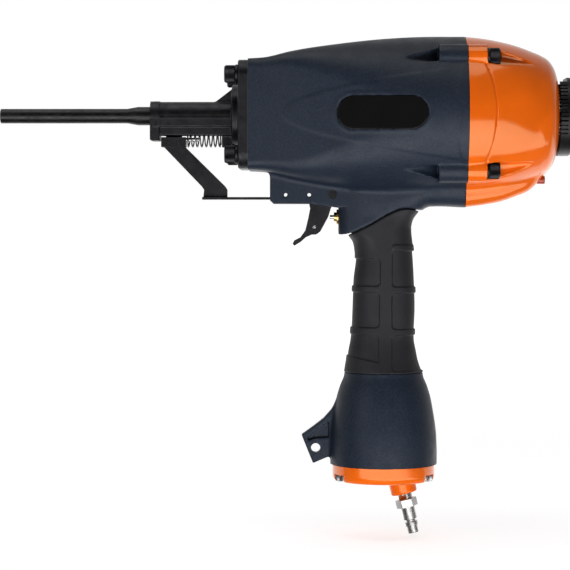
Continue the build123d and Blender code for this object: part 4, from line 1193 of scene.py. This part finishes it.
# width of each node's broken edges
BROKEN = {
    "arm_shoe": 0.4,
    "contact_arm": 0.5,
    "trigger": 0.5,
    "barrel_tube": 0.3,
    "idle_lever": 0.25,
    "air_plug": 0.2,
    "deflector": 0.35,
    "name_plates": 0.3,
    "arm_pins": 0.3,
    "trigger_pin": 0.3,
    "spring_guide": 0.3,
    "trigger_valve_body": 0.15,
    "passage_plug": 0.4,
    "deflector_screw": 0.3,
}
for node, bevel in BROKEN.items():
    broken_edges(node, bevel, BODY_OF[node])


# ------------------------------------------------------------------ stage, light, camera
FLOOR_DROP = 0.002
FLOOR_REACH = 45.0
# (distance from the handle in metres, glow): less near the gun, so that its soft shadow shows
FLOOR_GLOW = [(0.5, 0.74), (2.2, 1.0)]
FLOOR_GREY = 0.55
EYE = Vector((0.2295, -1.658, -0.0777))
AIM = Vector((0.213, 0.0, -0.12645))
LENS_MM = 139.7
SIGHT = 200.0


def stage_floor():
    """A plain pale floor just under the lowest point of the gun."""
    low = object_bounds()[0][2] - FLOOR_DROP
    mesh = bpy.data.meshes.new("floor")
    angles = np.linspace(0, 2 * math.pi, 65)[:-1]
    rim = [(FLOOR_REACH * math.cos(angle), FLOOR_REACH * math.sin(angle), low) for angle in angles]
    mesh.from_pydata(rim, [], [tuple(range(len(rim)))])
    floor = bpy.data.objects.new("floor", mesh)
    bpy.context.scene.collection.objects.link(floor)
    look = Look("pale_floor", (FLOOR_GREY, FLOOR_GREY, FLOOR_GREY), 0.9, Specular_IOR_Level=0.0)
    look.shader.inputs["Emission Color"].default_value = (1.0, 1.0, 1.0, 1.0)
    away = look.nodes.new("ShaderNodeVectorMath")
    away.operation = "DISTANCE"
    away.inputs[1].default_value = (HANDLE_X * MM, 0.0, low)
    look.links.new(look.place, away.inputs[0])
    glow = look.nodes.new("ShaderNodeMapRange")
    glow.interpolation_type = "SMOOTHSTEP"
    (glow.inputs["From Min"].default_value, glow.inputs["To Min"].default_value) = FLOOR_GLOW[0]
    (glow.inputs["From Max"].default_value, glow.inputs["To Max"].default_value) = FLOOR_GLOW[1]
    look.links.new(away.outputs["Value"], glow.inputs["Value"])
    look.drive("Emission Strength", glow.outputs["Result"])
    mesh.materials.append(look.material)
    floor.visible_diffuse = False
    floor.visible_glossy = False
    floor.visible_shadow = False


def aim(thing, target):
    """Turn a lamp or camera to face a point."""
    thing.rotation_euler = (Vector(target) - thing.location).to_track_quat("-Z", "Y").to_euler()


def softbox(name, place, size, power, only=""):
    """A rectangular studio light; only may limit it to the diffuse or the glossy share of a surface."""
    light = bpy.data.lights.new(name, "AREA")
    light.shape = "RECTANGLE"
    light.size, light.size_y = size
    light.energy = power
    lamp = bpy.data.objects.new(name, light)
    bpy.context.scene.collection.objects.link(lamp)
    lamp.location = place
    lamp.visible_glossy = only != "diffuse"
    lamp.visible_diffuse = only != "glossy"
    return lamp


stage_floor()

# light tables that shine up from beside the gun, one in front, turned a little, and one behind
TABLE_SIZE = (2.4, 2.2)
FRONT_TABLE = (0.045, -1.49, -0.36)
FRONT_TABLE_WAY = (math.pi, 0, math.radians(17.5))
REAR_TABLE = (0.3, 1.25, -0.36)
CENTRE = (0.25, 0.0, -0.12)
softbox("table_gloss", FRONT_TABLE, TABLE_SIZE, 48.0, "glossy").rotation_euler = FRONT_TABLE_WAY
softbox("table_glow", FRONT_TABLE, TABLE_SIZE, 20.0, "diffuse").rotation_euler = FRONT_TABLE_WAY
softbox("table_rear", REAR_TABLE, TABLE_SIZE, 16.0).rotation_euler = (math.pi, 0, 0)
aim(softbox("front_fill", (0.32, -1.0, -0.70), (1.5, 0.5), 20.0, "diffuse"), (0.29, 0.0, -0.26))
aim(softbox("overhead", (0.15, -0.2, 1.0), (1.2, 0.7), 5.2), CENTRE)
aim(softbox("left_fill", (-1.0, -1.1, 0.35), (0.6, 0.8), 3.0), CENTRE)

# (way the direction points along Y, brightness): dim behind the camera, bright behind the gun
ROOM = [(-1.0, 0.07), (-0.3, 0.08), (0.1, 0.2), (0.5, 0.6), (1.0, 0.8)]


def studio_world():
    """Room light for the object, with a plain white background behind it."""
    world = bpy.data.worlds.new("studio")
    world.use_nodes = True
    nodes, links = world.node_tree.nodes, world.node_tree.links
    room = nodes["Background"]
    direction = nodes.new("ShaderNodeTexCoord")
    split = nodes.new("ShaderNodeSeparateXYZ")
    links.new(direction.outputs["Generated"], split.inputs["Vector"])
    along = nodes.new("ShaderNodeMapRange")
    along.inputs["From Min"].default_value = -1.0
    links.new(split.outputs["Y"], along.inputs["Value"])
    ramp = nodes.new("ShaderNodeValToRGB")
    stops = ramp.color_ramp.elements
    while len(stops) < len(ROOM):
        stops.new(0.5)
    for stop, (level, grey) in zip(stops, ROOM):
        stop.position = (level + 1) / 2
        stop.color = (grey, grey, grey, 1.0)
    links.new(along.outputs["Result"], ramp.inputs["Fac"])
    links.new(ramp.outputs["Color"], room.inputs["Color"])
    backdrop = nodes.new("ShaderNodeBackground")
    backdrop.inputs["Color"].default_value = (1.0, 1.0, 1.0, 1.0)
    rays = nodes.new("ShaderNodeLightPath")
    mix = nodes.new("ShaderNodeMixShader")
    links.new(rays.outputs["Is Camera Ray"], mix.inputs["Fac"])
    links.new(room.outputs["Background"], mix.inputs[1])
    links.new(backdrop.outputs["Background"], mix.inputs[2])
    links.new(mix.outputs["Shader"], nodes["World Output"].inputs["Surface"])
    bpy.context.scene.world = world


studio_world()
bpy.context.scene.view_settings.view_transform = "Standard"

camera_data = bpy.data.cameras.new("side_camera")
camera_data.sensor_width = 36.0
camera_data.lens = LENS_MM
camera_data.clip_end = SIGHT
camera = bpy.data.objects.new("side_camera", camera_data)
bpy.context.scene.collection.objects.link(camera)
camera.location = EYE
aim(camera, AIM)
bpy.context.scene.camera = camera
